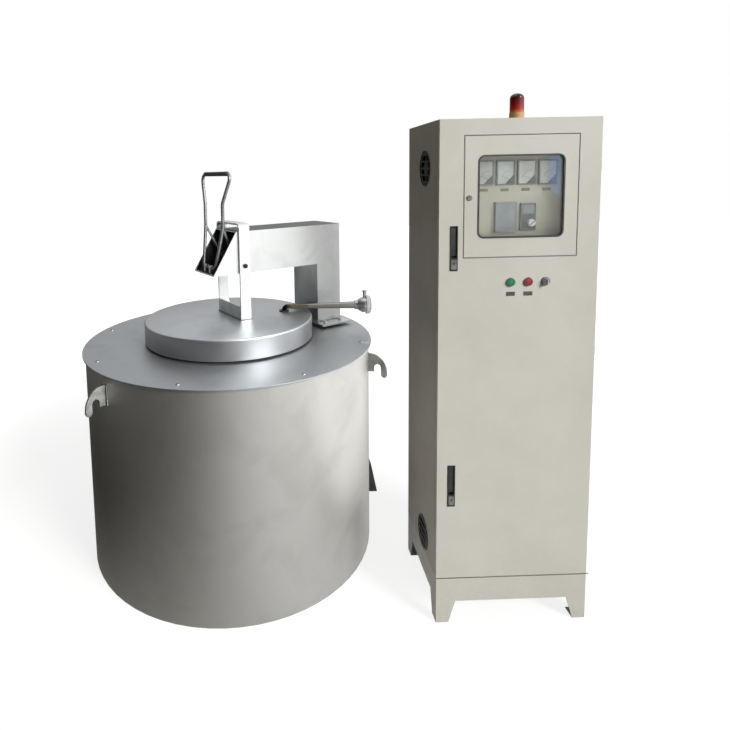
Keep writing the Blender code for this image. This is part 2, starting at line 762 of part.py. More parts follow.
def build_coil():
    """The induction coil, one unbroken tube wound on the jacket."""
    # The jacket's facets and the coil's share their angles, so the gap stays even.
    radius = JACKET_OUTER + (COIL_TUBE + FIT) / math.cos(math.pi / COIL_STEPS)
    steps = COIL_TURNS * COIL_STEPS
    path = []
    for step in range(steps + 1):
        angle = math.tau * step / COIL_STEPS
        height = COIL_LOW + COIL_PITCH * step / COIL_STEPS
        path.append(Vector((radius * math.cos(angle), radius * math.sin(angle), height)))
    sides = 6
    make_part("induction_coil", rod(path, COIL_TUBE, sides), "copper")
    gap = min((path[step + COIL_STEPS] - path[step]).length for step in range(steps + 1 - COIL_STEPS))
    print("coil: least gap between turns", round(gap - 2 * COIL_TUBE, 4))


def hook_outline():
    """A lug with a round back and a slot open at the bottom; x runs out from the shell."""
    top, reach = HOOK_TOP, HOOK_REACH
    slot_radius = (reach - HOOK_ARM_WIDTH - HOOK_FOOT_WIDTH) / 2
    slot_centre = (HOOK_FOOT_WIDTH + slot_radius, top - HOOK_SLOT_TOP - slot_radius)
    nose = HOOK_ARM_WIDTH / 2
    tip = top - HOOK_HEIGHT
    outline = [(0, top)]
    outline += arc((0, top - reach), reach, 70, 0, 6)
    outline += arc((reach - nose, tip + nose), nose, 0, -180, 4)
    outline += arc(slot_centre, slot_radius, 0, 180, 4)
    outline += [(HOOK_FOOT_WIDTH, top - HOOK_FOOT_HEIGHT), (0, top - HOOK_FOOT_HEIGHT)]
    return outline


def build_hooks():
    """Three lifting hooks, upright lugs that stand on the shell."""
    outline = [(SHELL_RADIUS + FIT + x, z) for x, z in hook_outline()]
    for number in range(HOOK_COUNT):
        lug = prism(outline, 1, -HOOK_THICKNESS / 2, HOOK_THICKNESS / 2)
        turn = Matrix.Rotation(HOOK_START + math.tau * number / HOOK_COUNT, 3, "Z")
        bmesh.ops.rotate(lug, verts=lug.verts[:], matrix=turn)
        make_part("lifting_hook_" + "abc"[number], lug, "bright_steel")


def build_hood():
    """The downward hood over the cable outlet, open below and towards the shell."""
    back, front = SHELL_RADIUS - HOOD_DEPTH, SHELL_RADIUS + HOOD_DEPTH
    brow = SHELL_RADIUS + HOOD_TOP_DEPTH
    low = HOOD_TOP - HOOD_HEIGHT
    half = HOOD_WIDTH / 2
    outline = ((back, HOOD_TOP), (brow, HOOD_TOP), (front, low), (back, low))
    hood = make_part("cable_hood", prism(outline, 1, -half, half), "black_steel")
    slope = (HOOD_DEPTH - HOOD_TOP_DEPTH) / HOOD_HEIGHT
    ceiling = HOOD_TOP - SHEET
    inner = ((back - OVERRUN, ceiling), (brow - SHEET + slope * SHEET, ceiling),
             (front - SHEET + slope * OVERRUN, low - OVERRUN), (back - OVERRUN, low - OVERRUN))
    cut(hood, prism(inner, 1, -half + SHEET, half - SHEET))
    cut(hood, lathe(disc(SHELL_RADIUS + FIT, low - 2 * OVERRUN, HOOD_TOP + OVERRUN), LARGE_ROUND))


# Lifting arm

def build_swivel():
    """The fixed post that the arm turns on."""
    low = TOP_PLATE_HIGH + FIT
    high = low + SWIVEL_BASE_HEIGHT
    heading = Vector((math.cos(ARM_HEADING), math.sin(ARM_HEADING), 0))
    profile = ((0, low), (SWIVEL_BASE_RADIUS, low), (SWIVEL_BASE_RADIUS, high), (POST_RADIUS, high),
               (POST_RADIUS, POST_TOP), (0, POST_TOP))
    place = Matrix.Translation(heading * ARM_REACH)
    make_part("swivel_post", lathe(profile, SMALL_ROUND * 2, place), "bright_steel")


def arm_outline(inset, spill):
    """Side outline of column and beam; spill runs it past the mouth and the column's foot."""
    slope = (MOUTH_HEAD - MOUTH_FOOT) / BEAM_HEIGHT
    low, high = BEAM_LOW + inset, BEAM_TOP - inset
    return ((MOUTH_FOOT + slope * inset - spill, low), (COLUMN_NEAR + inset, low),
            (COLUMN_NEAR + inset, COLUMN_LOW - spill), (COLUMN_FAR - inset, COLUMN_LOW - spill),
            (COLUMN_FAR - inset, high), (MOUTH_HEAD - slope * inset - spill, high))


def build_arm(pivot):
    """The welded sheet arm: column and beam, open at its slanted nose, with two saddles."""
    half = ARM_WIDTH / 2
    arm = make_part("arm_housing", prism(arm_outline(0, 0), 1, -half, half), "bright_steel", pivot)
    cut(arm, prism(arm_outline(ARM_WALL, OVERRUN * 2), 1, ARM_WALL - half, half - ARM_WALL))
    slot = PIN_RADIUS + RUNNING_GAP
    outline = arc((STIRRUP_PLACE, PIN_HEIGHT), slot, 180, 360, 4)
    outline += arc((STIRRUP_PLACE, PIN_HEIGHT + LID_LIFT), slot, 0, 180, 4)
    cut(arm, prism(outline, 1, -half - OVERRUN, half + OVERRUN))
    floor = BEAM_LOW + ARM_WALL - WELD
    centre = (HANDLE_PIVOT_PLACE, HANDLE_PIVOT_HEIGHT)
    outline = arc(centre, SADDLE_RADIUS, 0, 180, 8)
    outline += [(centre[0] - SADDLE_RADIUS, floor), (centre[0] + SADDLE_RADIUS, floor)]
    saddles = bmesh.new()
    for middle in (-SADDLE_HALF, SADDLE_HALF):
        add_prism(saddles, outline, 1, middle - SADDLE_WIDTH / 2, middle + SADDLE_WIDTH / 2)
    join(arm, saddles)
    reach = SADDLE_HALF + SADDLE_WIDTH
    bore = disc(HANDLE_ROD + FIT * 2, -reach, reach)
    cut(arm, lathe(bore, SMALL_ROUND, along((0, 1, 0), (centre[0], 0, centre[1]))))


def build_arm_foot(pivot):
    """Foot plate with its bolt heads, bearing tube, and the bush round the post."""
    low, high = FOOT_LOW, FOOT_HIGH
    reach, across = FOOT_LENGTH / 2, FOOT_WIDTH / 2
    solid = box((ARM_REACH - reach, -across, low), (ARM_REACH + reach, across, high))
    foot = make_part("arm_foot_plate", solid, "satin_steel", pivot)
    axis = Matrix.Translation((ARM_REACH, 0, 0))
    bore = disc(BEARING_OUTER + FIT, low - OVERRUN, high + OVERRUN)
    cut(foot, lathe(bore, SMALL_ROUND * 2, axis))
    bolts = bmesh.new()
    for x in (-FOOT_BOLT_ALONG, FOOT_BOLT_ALONG):
        for y in (-FOOT_BOLT_ACROSS, FOOT_BOLT_ACROSS):
            place = Matrix.Translation((ARM_REACH + x, y, 0))
            add_lathe(bolts, disc(FOOT_BOLT_RADIUS, high - WELD, high + FOOT_BOLT_HEIGHT), 6, place)
    join(foot, bolts)
    flange = BEARING_OUTER + BEARING_FLANGE
    tube = ((BEARING_BORE, low), (BEARING_OUTER, low), (BEARING_OUTER, FLANGE_LOW), (flange, FLANGE_LOW),
            (flange, FLANGE_HIGH), (BEARING_OUTER, FLANGE_HIGH), (BEARING_OUTER, BEARING_TOP),
            (BEARING_BORE, BEARING_TOP))
    make_part("bearing_tube", lathe(tube, SMALL_ROUND * 2, axis), "satin_steel", pivot)
    bush = ring(BUSH_BORE, BUSH_OUTER, low, BEARING_TOP)
    make_part("swivel_bush", lathe(bush, SMALL_ROUND * 2, axis), "bronze", pivot)


# Lid

def build_lid(pivot):
    """The pressed lid pan and the fibre disc in it, both bored for the thermocouple."""
    radius, edge = LID_RADIUS, LID_EDGE_RADIUS
    profile = [(0, LID_HIGH - LID_SHEET), (radius - LID_SHEET, LID_HIGH - LID_SHEET),
               (radius - LID_SHEET, LID_LOW), (radius, LID_LOW)]
    profile += arc((radius - edge, LID_HIGH - edge), edge, 0, 90, 3)
    profile += [(0, LID_HIGH)]
    pan = make_part("lid_pan", lathe(profile, LARGE_ROUND), "satin_steel", pivot)
    fill = disc(radius - LID_SHEET - FIT * 5, LID_LOW, LID_HIGH - LID_SHEET - FIT)
    filling = make_part("lid_insulation", lathe(fill, LARGE_ROUND), "fibre", pivot)
    for part in (pan, filling):
        bore = disc(PROBE_RADIUS + RUNNING_GAP, LID_LOW - OVERRUN, LID_HIGH + OVERRUN)
        cut(part, lathe(bore, SMALL_ROUND, Matrix.Translation((PROBE_ALONG, PROBE_ACROSS, 0))))


def build_stirrup(pivot):
    """The flat-bar stirrup round the beam, with its foot web and bolt heads, and the cross pin."""
    inner = ARM_WIDTH / 2 + STIRRUP_GAP
    outer = inner + STIRRUP_THICKNESS
    near, far = STIRRUP_PLACE - STIRRUP_DEPTH / 2, STIRRUP_PLACE + STIRRUP_DEPTH / 2
    low = LID_HIGH + FIT
    bar = STIRRUP_THICKNESS
    corner, inner_corner = STIRRUP_CORNER, STIRRUP_CORNER - bar
    outline = [(-outer, low), (outer, low)]
    outline += arc((outer - corner, STIRRUP_TOP - corner), corner, 0, 90, 3)
    outline += arc((corner - outer, STIRRUP_TOP - corner), corner, 90, 180, 3)
    stirrup = make_part("lid_stirrup", prism(outline, 0, near, far), "bright_steel", pivot)
    hole = [(-inner, low + bar), (inner, low + bar)]
    hole += arc((inner - inner_corner, STIRRUP_TOP - corner), inner_corner, 0, 90, 3)
    hole += arc((inner_corner - inner, STIRRUP_TOP - corner), inner_corner, 90, 180, 3)
    cut(stirrup, prism(hole, 0, near - OVERRUN, far + OVERRUN))
    lap = bar / 2
    join(stirrup, box((near, -inner - lap, low + lap), (near + bar, inner + lap, low + STIRRUP_WEB_HEIGHT)))
    bore = disc(PIN_RADIUS + FIT, -outer - OVERRUN, outer + OVERRUN)
    cut(stirrup, lathe(bore, SMALL_ROUND, along((0, 1, 0), (STIRRUP_PLACE, 0, PIN_HEIGHT))))
    bolts = bmesh.new()
    seat = low + bar
    for place in STIRRUP_BOLT_PLACES:
        for side in (-place, place):
            spot = Matrix.Translation((STIRRUP_PLACE + bar / 2, side, 0))
            add_lathe(bolts, disc(STIRRUP_BOLT_RADIUS, seat - WELD, seat + STIRRUP_BOLT_HEIGHT), 6, spot)
    join(stirrup, bolts)
    build_cross_pin(pivot, outer)


def build_cross_pin(pivot, outer):
    """The pin through stirrup and beam that the handle's braces lift."""
    seat = outer + FIT
    profile = ((0, -seat - PIN_HEAD_HEIGHT), (PIN_HEAD_RADIUS, -seat - PIN_HEAD_HEIGHT),
               (PIN_HEAD_RADIUS, -seat), (PIN_RADIUS, -seat), (PIN_RADIUS, seat),
               (PIN_HEAD_RADIUS, seat), (PIN_HEAD_RADIUS, seat + PIN_HEAD_HEIGHT),
               (0, seat + PIN_HEAD_HEIGHT))
    place = along((0, 1, 0), (STIRRUP_PLACE, 0, PIN_HEIGHT))
    make_part("cross_pin", lathe(profile, 12, place), "black_steel", pivot)


def probe_frame():
    """Direction of the thermocouple's level run, and its height: parallel to the front."""
    direction = Vector((math.cos(-ARM_HEADING), math.sin(-ARM_HEADING), 0))
    return direction, LID_HIGH + PROBE_RISE


def build_probe(pivot):
    """Thermocouple: gland on the lid, bent tube and terminal head."""
    direction, level = probe_frame()
    root = Vector((PROBE_ALONG, PROBE_ACROSS, 0))
    seat = LID_HIGH + FIT
    gland = ring(PROBE_RADIUS + FIT * 2, GLAND_RADIUS, seat, seat + GLAND_HEIGHT)
    place = Matrix.Translation(root)
    make_part("probe_gland", lathe(gland, SMALL_ROUND, place), "zinc", pivot)
    end = root + direction * PROBE_REACH
    corners = ((root.x, root.y, LID_LOW), (root.x, root.y, level), (end.x, end.y, level))
    path = round_corners(corners, PROBE_ELBOW, 6, False)
    tube = make_part("probe_tube", rod(path, PROBE_RADIUS, SMALL_ROUND), "satin_steel", pivot)
    start = root + direction * SLEEVE_START
    length = PROBE_REACH - SLEEVE_START
    sleeve = ((0, 0), (PROBE_RADIUS + WELD, 0), (SLEEVE_RADIUS, length), (0, length))
    join(tube, lathe(sleeve, SMALL_ROUND, along(direction, (start.x, start.y, level))))
    cap_start = HEAD_COLLAR_LENGTH + HEAD_LENGTH
    back = cap_start + HEAD_CAP_LENGTH
    profile = [(0, FIT), (HEAD_COLLAR_RADIUS, FIT), (HEAD_COLLAR_RADIUS, HEAD_COLLAR_LENGTH * 2 / 3),
               (HEAD_COLLAR_RADIUS * 1.2, HEAD_COLLAR_LENGTH)]
    profile += [(HEAD_RADIUS, HEAD_COLLAR_LENGTH + HEAD_LENGTH / 2), (HEAD_RADIUS, cap_start),
                (HEAD_CAP_RADIUS, cap_start), (HEAD_CAP_RADIUS, back - HEAD_CAP_LENGTH / 2)]
    profile += [(HEAD_CAP_RADIUS * 0.9, back - HEAD_CAP_LENGTH / 6), (HEAD_RADIUS * 0.9, back), (0, back)]
    head = make_part("probe_head", lathe(profile, SMALL_ROUND + 4, along(direction, (end.x, end.y, level))),
                     "zinc", pivot)
    middle = end + direction * (cap_start - NUB_RADIUS / 2)
    crown = level + HEAD_CAP_RADIUS
    nub = ((0, level), (NUB_RADIUS, level), (NUB_RADIUS * 0.8, crown + NUB_HEIGHT / 2),
           (NUB_RADIUS, crown + NUB_HEIGHT * 2 / 3), (NUB_RADIUS, crown + NUB_HEIGHT), (0, crown + NUB_HEIGHT))
    join(head, lathe(nub, TINY_ROUND, Matrix.Translation((middle.x, middle.y, 0))))


# Handle

def handle_corners():
    """Corner points of the handle's closed loop, near side first."""
    side = ((HANDLE_PIVOT_PLACE, HANDLE_FOOT_HALF, HANDLE_PIVOT_HEIGHT),
            (HANDLE_APEX_PLACE, HANDLE_WAIST_HALF, HANDLE_APEX_HEIGHT),
            (HANDLE_WAIST_PLACE, HANDLE_WAIST_HALF, HANDLE_WAIST_HEIGHT),
            (HANDLE_GRIP_PLACE, HANDLE_GRIP_HALF, HANDLE_GRIP_HEIGHT))
    near = [(x, -y, z) for x, y, z in side]
    far = [(x, y, z) for x, y, z in side]
    return near + far[::-1]


def brace_eye(half):
    """A flat eye round the cross pin, slotted along the beam."""
    slot = BRACE_EYE_SLOT
    outer = PIN_RADIUS + RUNNING_GAP + BRACE_EYE_WALL
    centre = (STIRRUP_PLACE, PIN_HEIGHT)
    outline = arc((centre[0] + slot, centre[1]), outer, -90, 90, 5)
    outline += arc((centre[0] - slot, centre[1]), outer, 90, 270, 5)
    return prism(outline, 1, half - BRACE_EYE_THICKNESS / 2, half + BRACE_EYE_THICKNESS / 2)


def build_handle(pivot):
    """The bent rod handle with its welded braces, which reach the lid's cross pin."""
    path = round_corners(handle_corners(), HANDLE_BEND, 3, True)
    handle = make_part("lift_handle", rod(path, HANDLE_ROD, 8, True), "satin_steel", pivot)
    slot = PIN_RADIUS + RUNNING_GAP
    for side in (-1, 1):
        start = Vector((HANDLE_APEX_PLACE, side * HANDLE_WAIST_HALF, HANDLE_APEX_HEIGHT))
        end = Vector((STIRRUP_PLACE - BRACE_EYE_SLOT - slot, side * BRACE_HALF,
                      PIN_HEIGHT + slot + BRACE_EYE_WALL / 2))
        join(handle, rod([start, end], BRACE_ROD, 8))
        join(handle, brace_eye(side * BRACE_HALF))
    outline = arc((STIRRUP_PLACE + BRACE_EYE_SLOT, PIN_HEIGHT), slot, -90, 90, 4)
    outline += arc((STIRRUP_PLACE - BRACE_EYE_SLOT, PIN_HEIGHT), slot, 90, 270, 4)
    reach = BRACE_HALF + BRACE_EYE_THICKNESS
    cut(handle, prism(outline, 1, -reach, reach))
    grip_half = HANDLE_GRIP_HALF - HANDLE_BEND * 1.5
    inner, outer = HANDLE_ROD + 2 * FIT, HANDLE_ROD + GRIP_WALL
    place = along((0, 1, 0), (HANDLE_GRIP_PLACE, 0, HANDLE_GRIP_HEIGHT))
    make_part("handle_grip", lathe(ring(inner, outer, -grip_half, grip_half), 12, place), "rubber", pivot)


# Cabinet body

def build_cabinet_body(cabinet):
    """The folded sheet body with its front frame, vent holes and cable entry; returns it."""
    width, depth, height = CABINET_WIDTH, CABINET_DEPTH, CABINET_HEIGHT
    low = PLINTH_HEIGHT + FIT
    body = make_part("cabinet_body", box((0, BODY_FRONT, low), (width, depth, height)), "cabinet_paint", cabinet)
    cut(body, box((SHEET, BODY_FRONT + SHEET, low + SHEET), (width - SHEET, depth - SHEET, height - SHEET)))
    lip = FRAME_LIP + SHEET
    cut(body, box((lip, BODY_FRONT - OVERRUN, low + lip), (width - lip, BODY_FRONT + OVERRUN, height - lip)))
    for level in VENT_CENTRES:
        place = along((1, 0, 0), (-OVERRUN, VENT_DEPTH, level))
        cut(body, lathe(disc(VENT_RADIUS, 0, SHEET + 2 * OVERRUN), SMALL_ROUND, place))
    entry_x, entry_y = CABLE_ENTRY
    centre_x, centre_y = width / 2, (BODY_FRONT + depth) / 2
    cut(body, box((centre_x - entry_x / 2, centre_y - entry_y / 2, low - OVERRUN),
                  (centre_x + entry_x / 2, centre_y + entry_y / 2, low + OVERRUN)))
    return body


def plinth_gap(length):
    """Outline of the trapezoid cut between two feet."""
    pad, slant = FOOT_PAD, PLINTH_CUT_SLANT
    return ((pad - slant * OVERRUN / PLINTH_CUT_HEIGHT, -OVERRUN),
            (length - pad + slant * OVERRUN / PLINTH_CUT_HEIGHT, -OVERRUN),
            (length - pad - slant, PLINTH_CUT_HEIGHT), (pad + slant, PLINTH_CUT_HEIGHT))


def build_plinth(cabinet):
    """The sheet plinth: four feet with slanted gaps between them."""
    width, depth = CABINET_WIDTH, CABINET_DEPTH
    plinth = make_part("cabinet_plinth", box((0, 0, 0), (width, depth, PLINTH_HEIGHT)), "cabinet_paint", cabinet)
    sheet = PLINTH_SHEET
    cut(plinth, box((sheet, sheet, FOOT_PAD_THICKNESS), (width - sheet, depth - sheet, PLINTH_HEIGHT - sheet)))
    inner = FOOT_PAD + FRAME_LIP
    cut(plinth, box((inner, inner, PLINTH_HEIGHT - OVERRUN), (width - inner, depth - inner,
                                                           PLINTH_HEIGHT + OVERRUN)))
    cut(plinth, prism(plinth_gap(width), 1, -OVERRUN, depth + OVERRUN))
    cut(plinth, prism(plinth_gap(depth), 0, -OVERRUN, width + OVERRUN))


def build_vents(cabinet):
    """Two grilles outside the left wall."""
    for name, level in zip(("upper", "lower"), VENT_CENTRES):
        place = along((-1, 0, 0), (-FIT, VENT_DEPTH, level))
        profile = ring(GRILLE_RADIUS - GRILLE_SLAT, GRILLE_RADIUS, 0, GRILLE_THICKNESS)
        grille = make_part("vent_grille_" + name, lathe(profile, 24, place), "black_plastic", cabinet)
        slats = bmesh.new()
        reach = GRILLE_RADIUS - GRILLE_SLAT / 2
        pitch = 2 * reach / GRILLE_SLATS
        for number in range(GRILLE_SLATS):
            height = level - reach + pitch / 2 + pitch * number
            span = math.sqrt(reach ** 2 - (abs(height - level) + GRILLE_SLAT / 2) ** 2)
            add_box(slats, (-FIT - GRILLE_THICKNESS * 0.8, VENT_DEPTH - span, height - GRILLE_SLAT / 2),
                    (-FIT - GRILLE_THICKNESS * 0.2, VENT_DEPTH + span, height + GRILLE_SLAT / 2))
        join(grille, slats)


def build_fan(cabinet):
    """The fan's frame inside the upper vent; the lower vent only lets air in."""
    level = VENT_CENTRES[0]
    inside = SHEET + FIT
    half = FAN_SIZE / 2
    solid = box((inside, VENT_DEPTH - half, level - half), (inside + FAN_LENGTH, VENT_DEPTH + half, level + half))
    frame = make_part("fan_frame", solid, "black_plastic", cabinet)
    bore = disc(VENT_RADIUS, FAN_PLATE, FAN_LENGTH + OVERRUN)
    cut(frame, lathe(bore, 24, along((1, 0, 0), (inside, VENT_DEPTH, level))))
    windows = bmesh.new()
    for quarter in range(4):
        start = quarter * 90
        outline = arc((0, 0), VENT_RADIUS - FAN_STRUT, start, start + 90, 4)
        outline += arc((0, 0), FAN_HUB_RADIUS, start + 90, start, 3)
        turn = math.radians(start + 45)
        outline = [(VENT_DEPTH + y + FAN_STRUT * math.cos(turn), level + z + FAN_STRUT * math.sin(turn))
                   for y, z in outline]
        add_prism(windows, outline, 0, inside - OVERRUN, inside + FAN_PLATE + OVERRUN)
    cut(frame, windows)


def build_rotor(pivot):
    """The fan's rotor: hub and twisted blades about the X axis."""
    centre = pivot.point
    low = SHEET + FIT + FAN_PLATE + FIT
    hub = disc(FAN_HUB_RADIUS, low, low + ROTOR_LENGTH)
    base = along((1, 0, 0), (0, centre.y, centre.z))
    rotor = make_part("fan_rotor", lathe(hub, SMALL_ROUND, base), "black_plastic", pivot)
    blades = bmesh.new()
    middle = low + ROTOR_LENGTH / 2
    chord = ROTOR_LENGTH / 2 / math.cos(ROTOR_TWIST) - ROTOR_BLADE
    for number in range(ROTOR_BLADES):
        first = len(blades.verts)
        add_box(blades, (-chord, FAN_HUB_RADIUS * 0.8, -ROTOR_BLADE / 2), (chord, ROTOR_RADIUS, ROTOR_BLADE / 2))
        blades.verts.ensure_lookup_table()
        for vert in blades.verts[first:]:
            twist = ROTOR_TWIST * (1.3 if vert.co.y < FAN_HUB_RADIUS else 0.8)
            vert.co = Matrix.Rotation(twist, 3, "Y") @ vert.co
            vert.co = Matrix.Rotation(math.tau * number / ROTOR_BLADES, 3, "X") @ vert.co
            vert.co += Vector((middle, centre.y, centre.z))
    join(rotor, blades)


def build_inside(cabinet):
    """Mounting plate, inverter, capacitors and switchgear."""
    width, depth = CABINET_WIDTH, CABINET_DEPTH
    back = depth - SHEET - FIT
    face = back - PLATE_STANDOFF - SHEET
    plate = bmesh.new()
    add_box(plate, (PLATE_MARGIN, face, PLATE_LOW), (width - PLATE_MARGIN, face + SHEET, PLATE_HIGH))
    part = make_part("mounting_plate", plate, "zinc", cabinet)
    posts = bmesh.new()
    for x in (PLATE_MARGIN * 2, width - PLATE_MARGIN * 2):
        for z in (PLATE_LOW + PLATE_MARGIN, PLATE_HIGH - PLATE_MARGIN):
            post = disc(STANDOFF_RADIUS, -SHEET / 2, PLATE_STANDOFF)
            add_lathe(posts, post, TINY_ROUND, along((0, 1, 0), (x, face + SHEET, z)))
    join(part, posts)
    build_inverter(cabinet, face - FIT)
    build_capacitors(cabinet, face - FIT)
    build_switchgear(cabinet, face - FIT)


def build_inverter(cabinet, face):
    """Power module: a finned heat sink behind a sheet cover."""
    size_x, size_y, size_z = INVERTER_SIZE
    left, low = (CABINET_WIDTH - size_x) / 2, INVERTER_LOW
    sink = face - INVERTER_SINK
    outline = [(left, face), (left, face - size_y), (left + size_x, face - size_y), (left + size_x, face)]
    pitch = (size_x - FIN_THICKNESS) / (FIN_COUNT - 1)
    for number in reversed(range(FIN_COUNT - 1)):
        start = left + pitch * number
        outline += [(start + pitch, face), (start + pitch, sink), (start + FIN_THICKNESS, sink),
                    (start + FIN_THICKNESS, face)]
    clean = []
    for point in outline:
        if not clean or (Vector(point) - Vector(clean[-1])).length > FIT:
            clean.append(point)
    part = make_part("inverter_module", prism(clean[:-1], 2, low, low + size_z), "zinc", cabinet)
    return part


def build_capacitors(cabinet, face):
    """Resonance capacitors in a row, clamped to an angle shelf."""
    centre = CABINET_WIDTH / 2
    span = CAPACITOR_PITCH * (CAPACITOR_COUNT - 1)
    reach = span / 2 + CAPACITOR_RADIUS
    shelf, front = CAPACITOR_SHELF, face - SHELF_DEPTH
    outline = ((face, shelf - SHELF_LIP), (face, shelf), (front, shelf), (front, shelf - SHEET),
               (face - SHEET, shelf - SHEET), (face - SHEET, shelf - SHELF_LIP))
    bank = make_part("capacitor_bank", prism(outline, 0, centre - reach, centre + reach), "grey_plastic", cabinet)
    step = CAPACITOR_RADIUS / 4
    low, top = shelf - WELD, shelf + CAPACITOR_HEIGHT
    can = ((0, low), (CAPACITOR_RADIUS, low), (CAPACITOR_RADIUS, top), (step, top), (step, top + step), (0, top + step))
    cans = bmesh.new()
    for number in range(CAPACITOR_COUNT):
        x = centre - span / 2 + CAPACITOR_PITCH * number
        add_lathe(cans, can, SMALL_ROUND, Matrix.Translation((x, face - SHELF_DEPTH / 2, 0)))
    join(bank, cans)


def build_switchgear(cabinet, face):
    """Breaker, contactor, relay and terminal row, clipped to one rail."""
    total = sum(size[0] for size in SWITCH_SIZES) + SWITCH_GAP * (len(SWITCH_SIZES) - 1)
    left = (CABINET_WIDTH - total) / 2
    middle = SWITCH_LOW + max(size[1] for size in SWITCH_SIZES) / 2
    rail = box((left, face - RAIL_DEPTH, middle - RAIL_HEIGHT / 2),
               (left + total, face, middle + RAIL_HEIGHT / 2))
    part = make_part("switchgear_row", rail, "grey_plastic", cabinet)
    start = left
    blocks = bmesh.new()
    for width, height in SWITCH_SIZES:
        add_box(blocks, (start, face - SWITCH_DEPTH * 0.6, middle - height / 2),
                (start + width, face - RAIL_DEPTH / 2, middle + height / 2))
        start += width + SWITCH_GAP
    join(part, blocks)
    noses = bmesh.new()
    start = left
    for width, height in SWITCH_SIZES:
        add_box(noses, (start + width / 6, face - SWITCH_DEPTH, middle - height / 4),
                (start + width * 5 / 6, face - SWITCH_DEPTH / 2, middle + height / 4))
        start += width + SWITCH_GAP
    join(part, noses)


def build_beacon(cabinet):
    """Warning beacon: cream base and a domed red lens."""
    place = Matrix.Translation((BEACON_PLACE, BEACON_DEPTH, 0))
    low = CABINET_HEIGHT + FIT
    middle = low + BEACON_BASE_HEIGHT
    make_part("beacon_base", lathe(disc(BEACON_RADIUS, low, middle), 24, place), "cream_plastic", cabinet)
    lens = BEACON_RADIUS - BEACON_LENS_INSET
    start, top = middle + FIT, CABINET_HEIGHT + BEACON_HEIGHT
    dome = lens * 0.7
    profile = [(0, start), (lens, start), (lens, top - dome)]
    profile += [(lens * math.cos(math.radians(turn)), top - dome + dome * math.sin(math.radians(turn)))
                for turn in (22, 45, 68)]
    profile += [(0, top)]
    make_part("beacon_lens", lathe(profile, 24, place), "red_plastic", cabinet)


# Cabinet doors

def hinge_outline(direction):
    """Knuckle and leaf in one; the leaf runs to +Y for 1 and to -Y for -1."""
    inner = -HINGE_RADIUS - FIT - WELD
    outer = HINGE_LEAF - HINGE_RADIUS
    start = math.degrees(math.acos(outer / HINGE_RADIUS))
    length = HINGE_LEAF_LENGTH if direction > 0 else HINGE_Y - SHEET
    root = BODY_FRONT - HINGE_Y + FIT if direction > 0 else HINGE_Y - DOOR_DEPTH + FIT
    outline = [(inner, root), (inner, length), (outer, length)]
    outline += arc((0, 0), HINGE_RADIUS, start, -180, 10)
    outline += [(-HINGE_RADIUS, root)]
    return [(HINGE_X + x, HINGE_Y + direction * y) for x, y in outline]


def build_hinges(body, panel):
    """Three lift-off hinges: lower knuckles and pins on the body, upper ones on the door."""
    fixed, moving, bores, pins = bmesh.new(), bmesh.new(), bmesh.new(), bmesh.new()
    for level in HINGE_CENTRES:
        add_prism(fixed, hinge_outline(1), 2, level - HINGE_HALF, level - FIT / 2)
        add_prism(moving, hinge_outline(-1), 2, level + FIT / 2, level + HINGE_HALF)
        place = Matrix.Translation((HINGE_X, HINGE_Y, level))
        add_lathe(pins, disc(HINGE_PIN_RADIUS, -HINGE_HALF / 2, HINGE_HALF * 0.8), 8, place)
        add_lathe(bores, disc(HINGE_PIN_RADIUS + FIT, -OVERRUN, HINGE_HALF + OVERRUN), 8, place)
    join(body, fixed)
    join(body, pins)
    join(panel, moving)
    cut(panel, bores)


def build_door(door):
    """The front door: a folded pan with the window's opening, lock and button holes; returns it."""
    width, high = CABINET_WIDTH, CABINET_HEIGHT
    part = make_part("main_door", box((0, 0, DOOR_LOW), (width, DOOR_DEPTH, high)), "cabinet_paint", door)
    cavity = bmesh.new()
    left, low, right, top = OPENING
    edge = DOOR_DEPTH + OVERRUN
    inner = ((SHEET, DOOR_LOW + SHEET), (width - SHEET, DOOR_LOW + SHEET),
             (width - SHEET, high - SHEET), (SHEET, high - SHEET))
    add_prism(cavity, inner, 1, SHEET, edge)
    cut(part, cavity)
    collar = box((left - SHEET, SHEET / 2, low - SHEET), (right + SHEET, DOOR_DEPTH, top + SHEET))
    join(part, collar)
    cut(part, box((left, -OVERRUN, low), (right, edge, top)))
    holes = bmesh.new()
    for number in range(BUTTON_COUNT):
        place = along((0, 1, 0), (BUTTON_FIRST + BUTTON_PITCH * number, -OVERRUN, BUTTON_CENTRE))
        add_lathe(holes, disc(BUTTON_HOLE, 0, SHEET + 2 * OVERRUN), SMALL_ROUND, place)
    for level in LOCK_CENTRES:
        reach, rise = LOCK_WIDTH / 2 - LOCK_RIM, LOCK_HEIGHT / 2 - LOCK_RIM
        add_box(holes, (LOCK_PLACE - reach, -OVERRUN, level - rise), (LOCK_PLACE + reach, edge, level + rise))
    cut(part, holes)
    pins = bmesh.new()
    reach = WINDOW_GAP + 2 * SHEET
    for level in (low - SHEET / 2, top + SHEET / 2 - reach):
        place = Matrix.Translation((WINDOW_RIGHT - WINDOW_HINGE_INSET, WINDOW_HINGE_DEPTH, level))
        add_lathe(pins, disc(WINDOW_PIN_RADIUS, 0, reach), 8, place)
    join(part, pins)
    return part


def meter_window(x):
    """Outline of a meter's recessed face; the mechanism's cover stays in its lower right corner."""
    half, rise = METER_WIDTH / 2 - METER_RIM, METER_HEIGHT / 2 - METER_RIM
    low, high = METER_CENTRE - rise, METER_CENTRE + rise
    return ((x - half, low), (x, low), (x + half, METER_CENTRE - rise / 4), (x + half, high), (x - half, high))


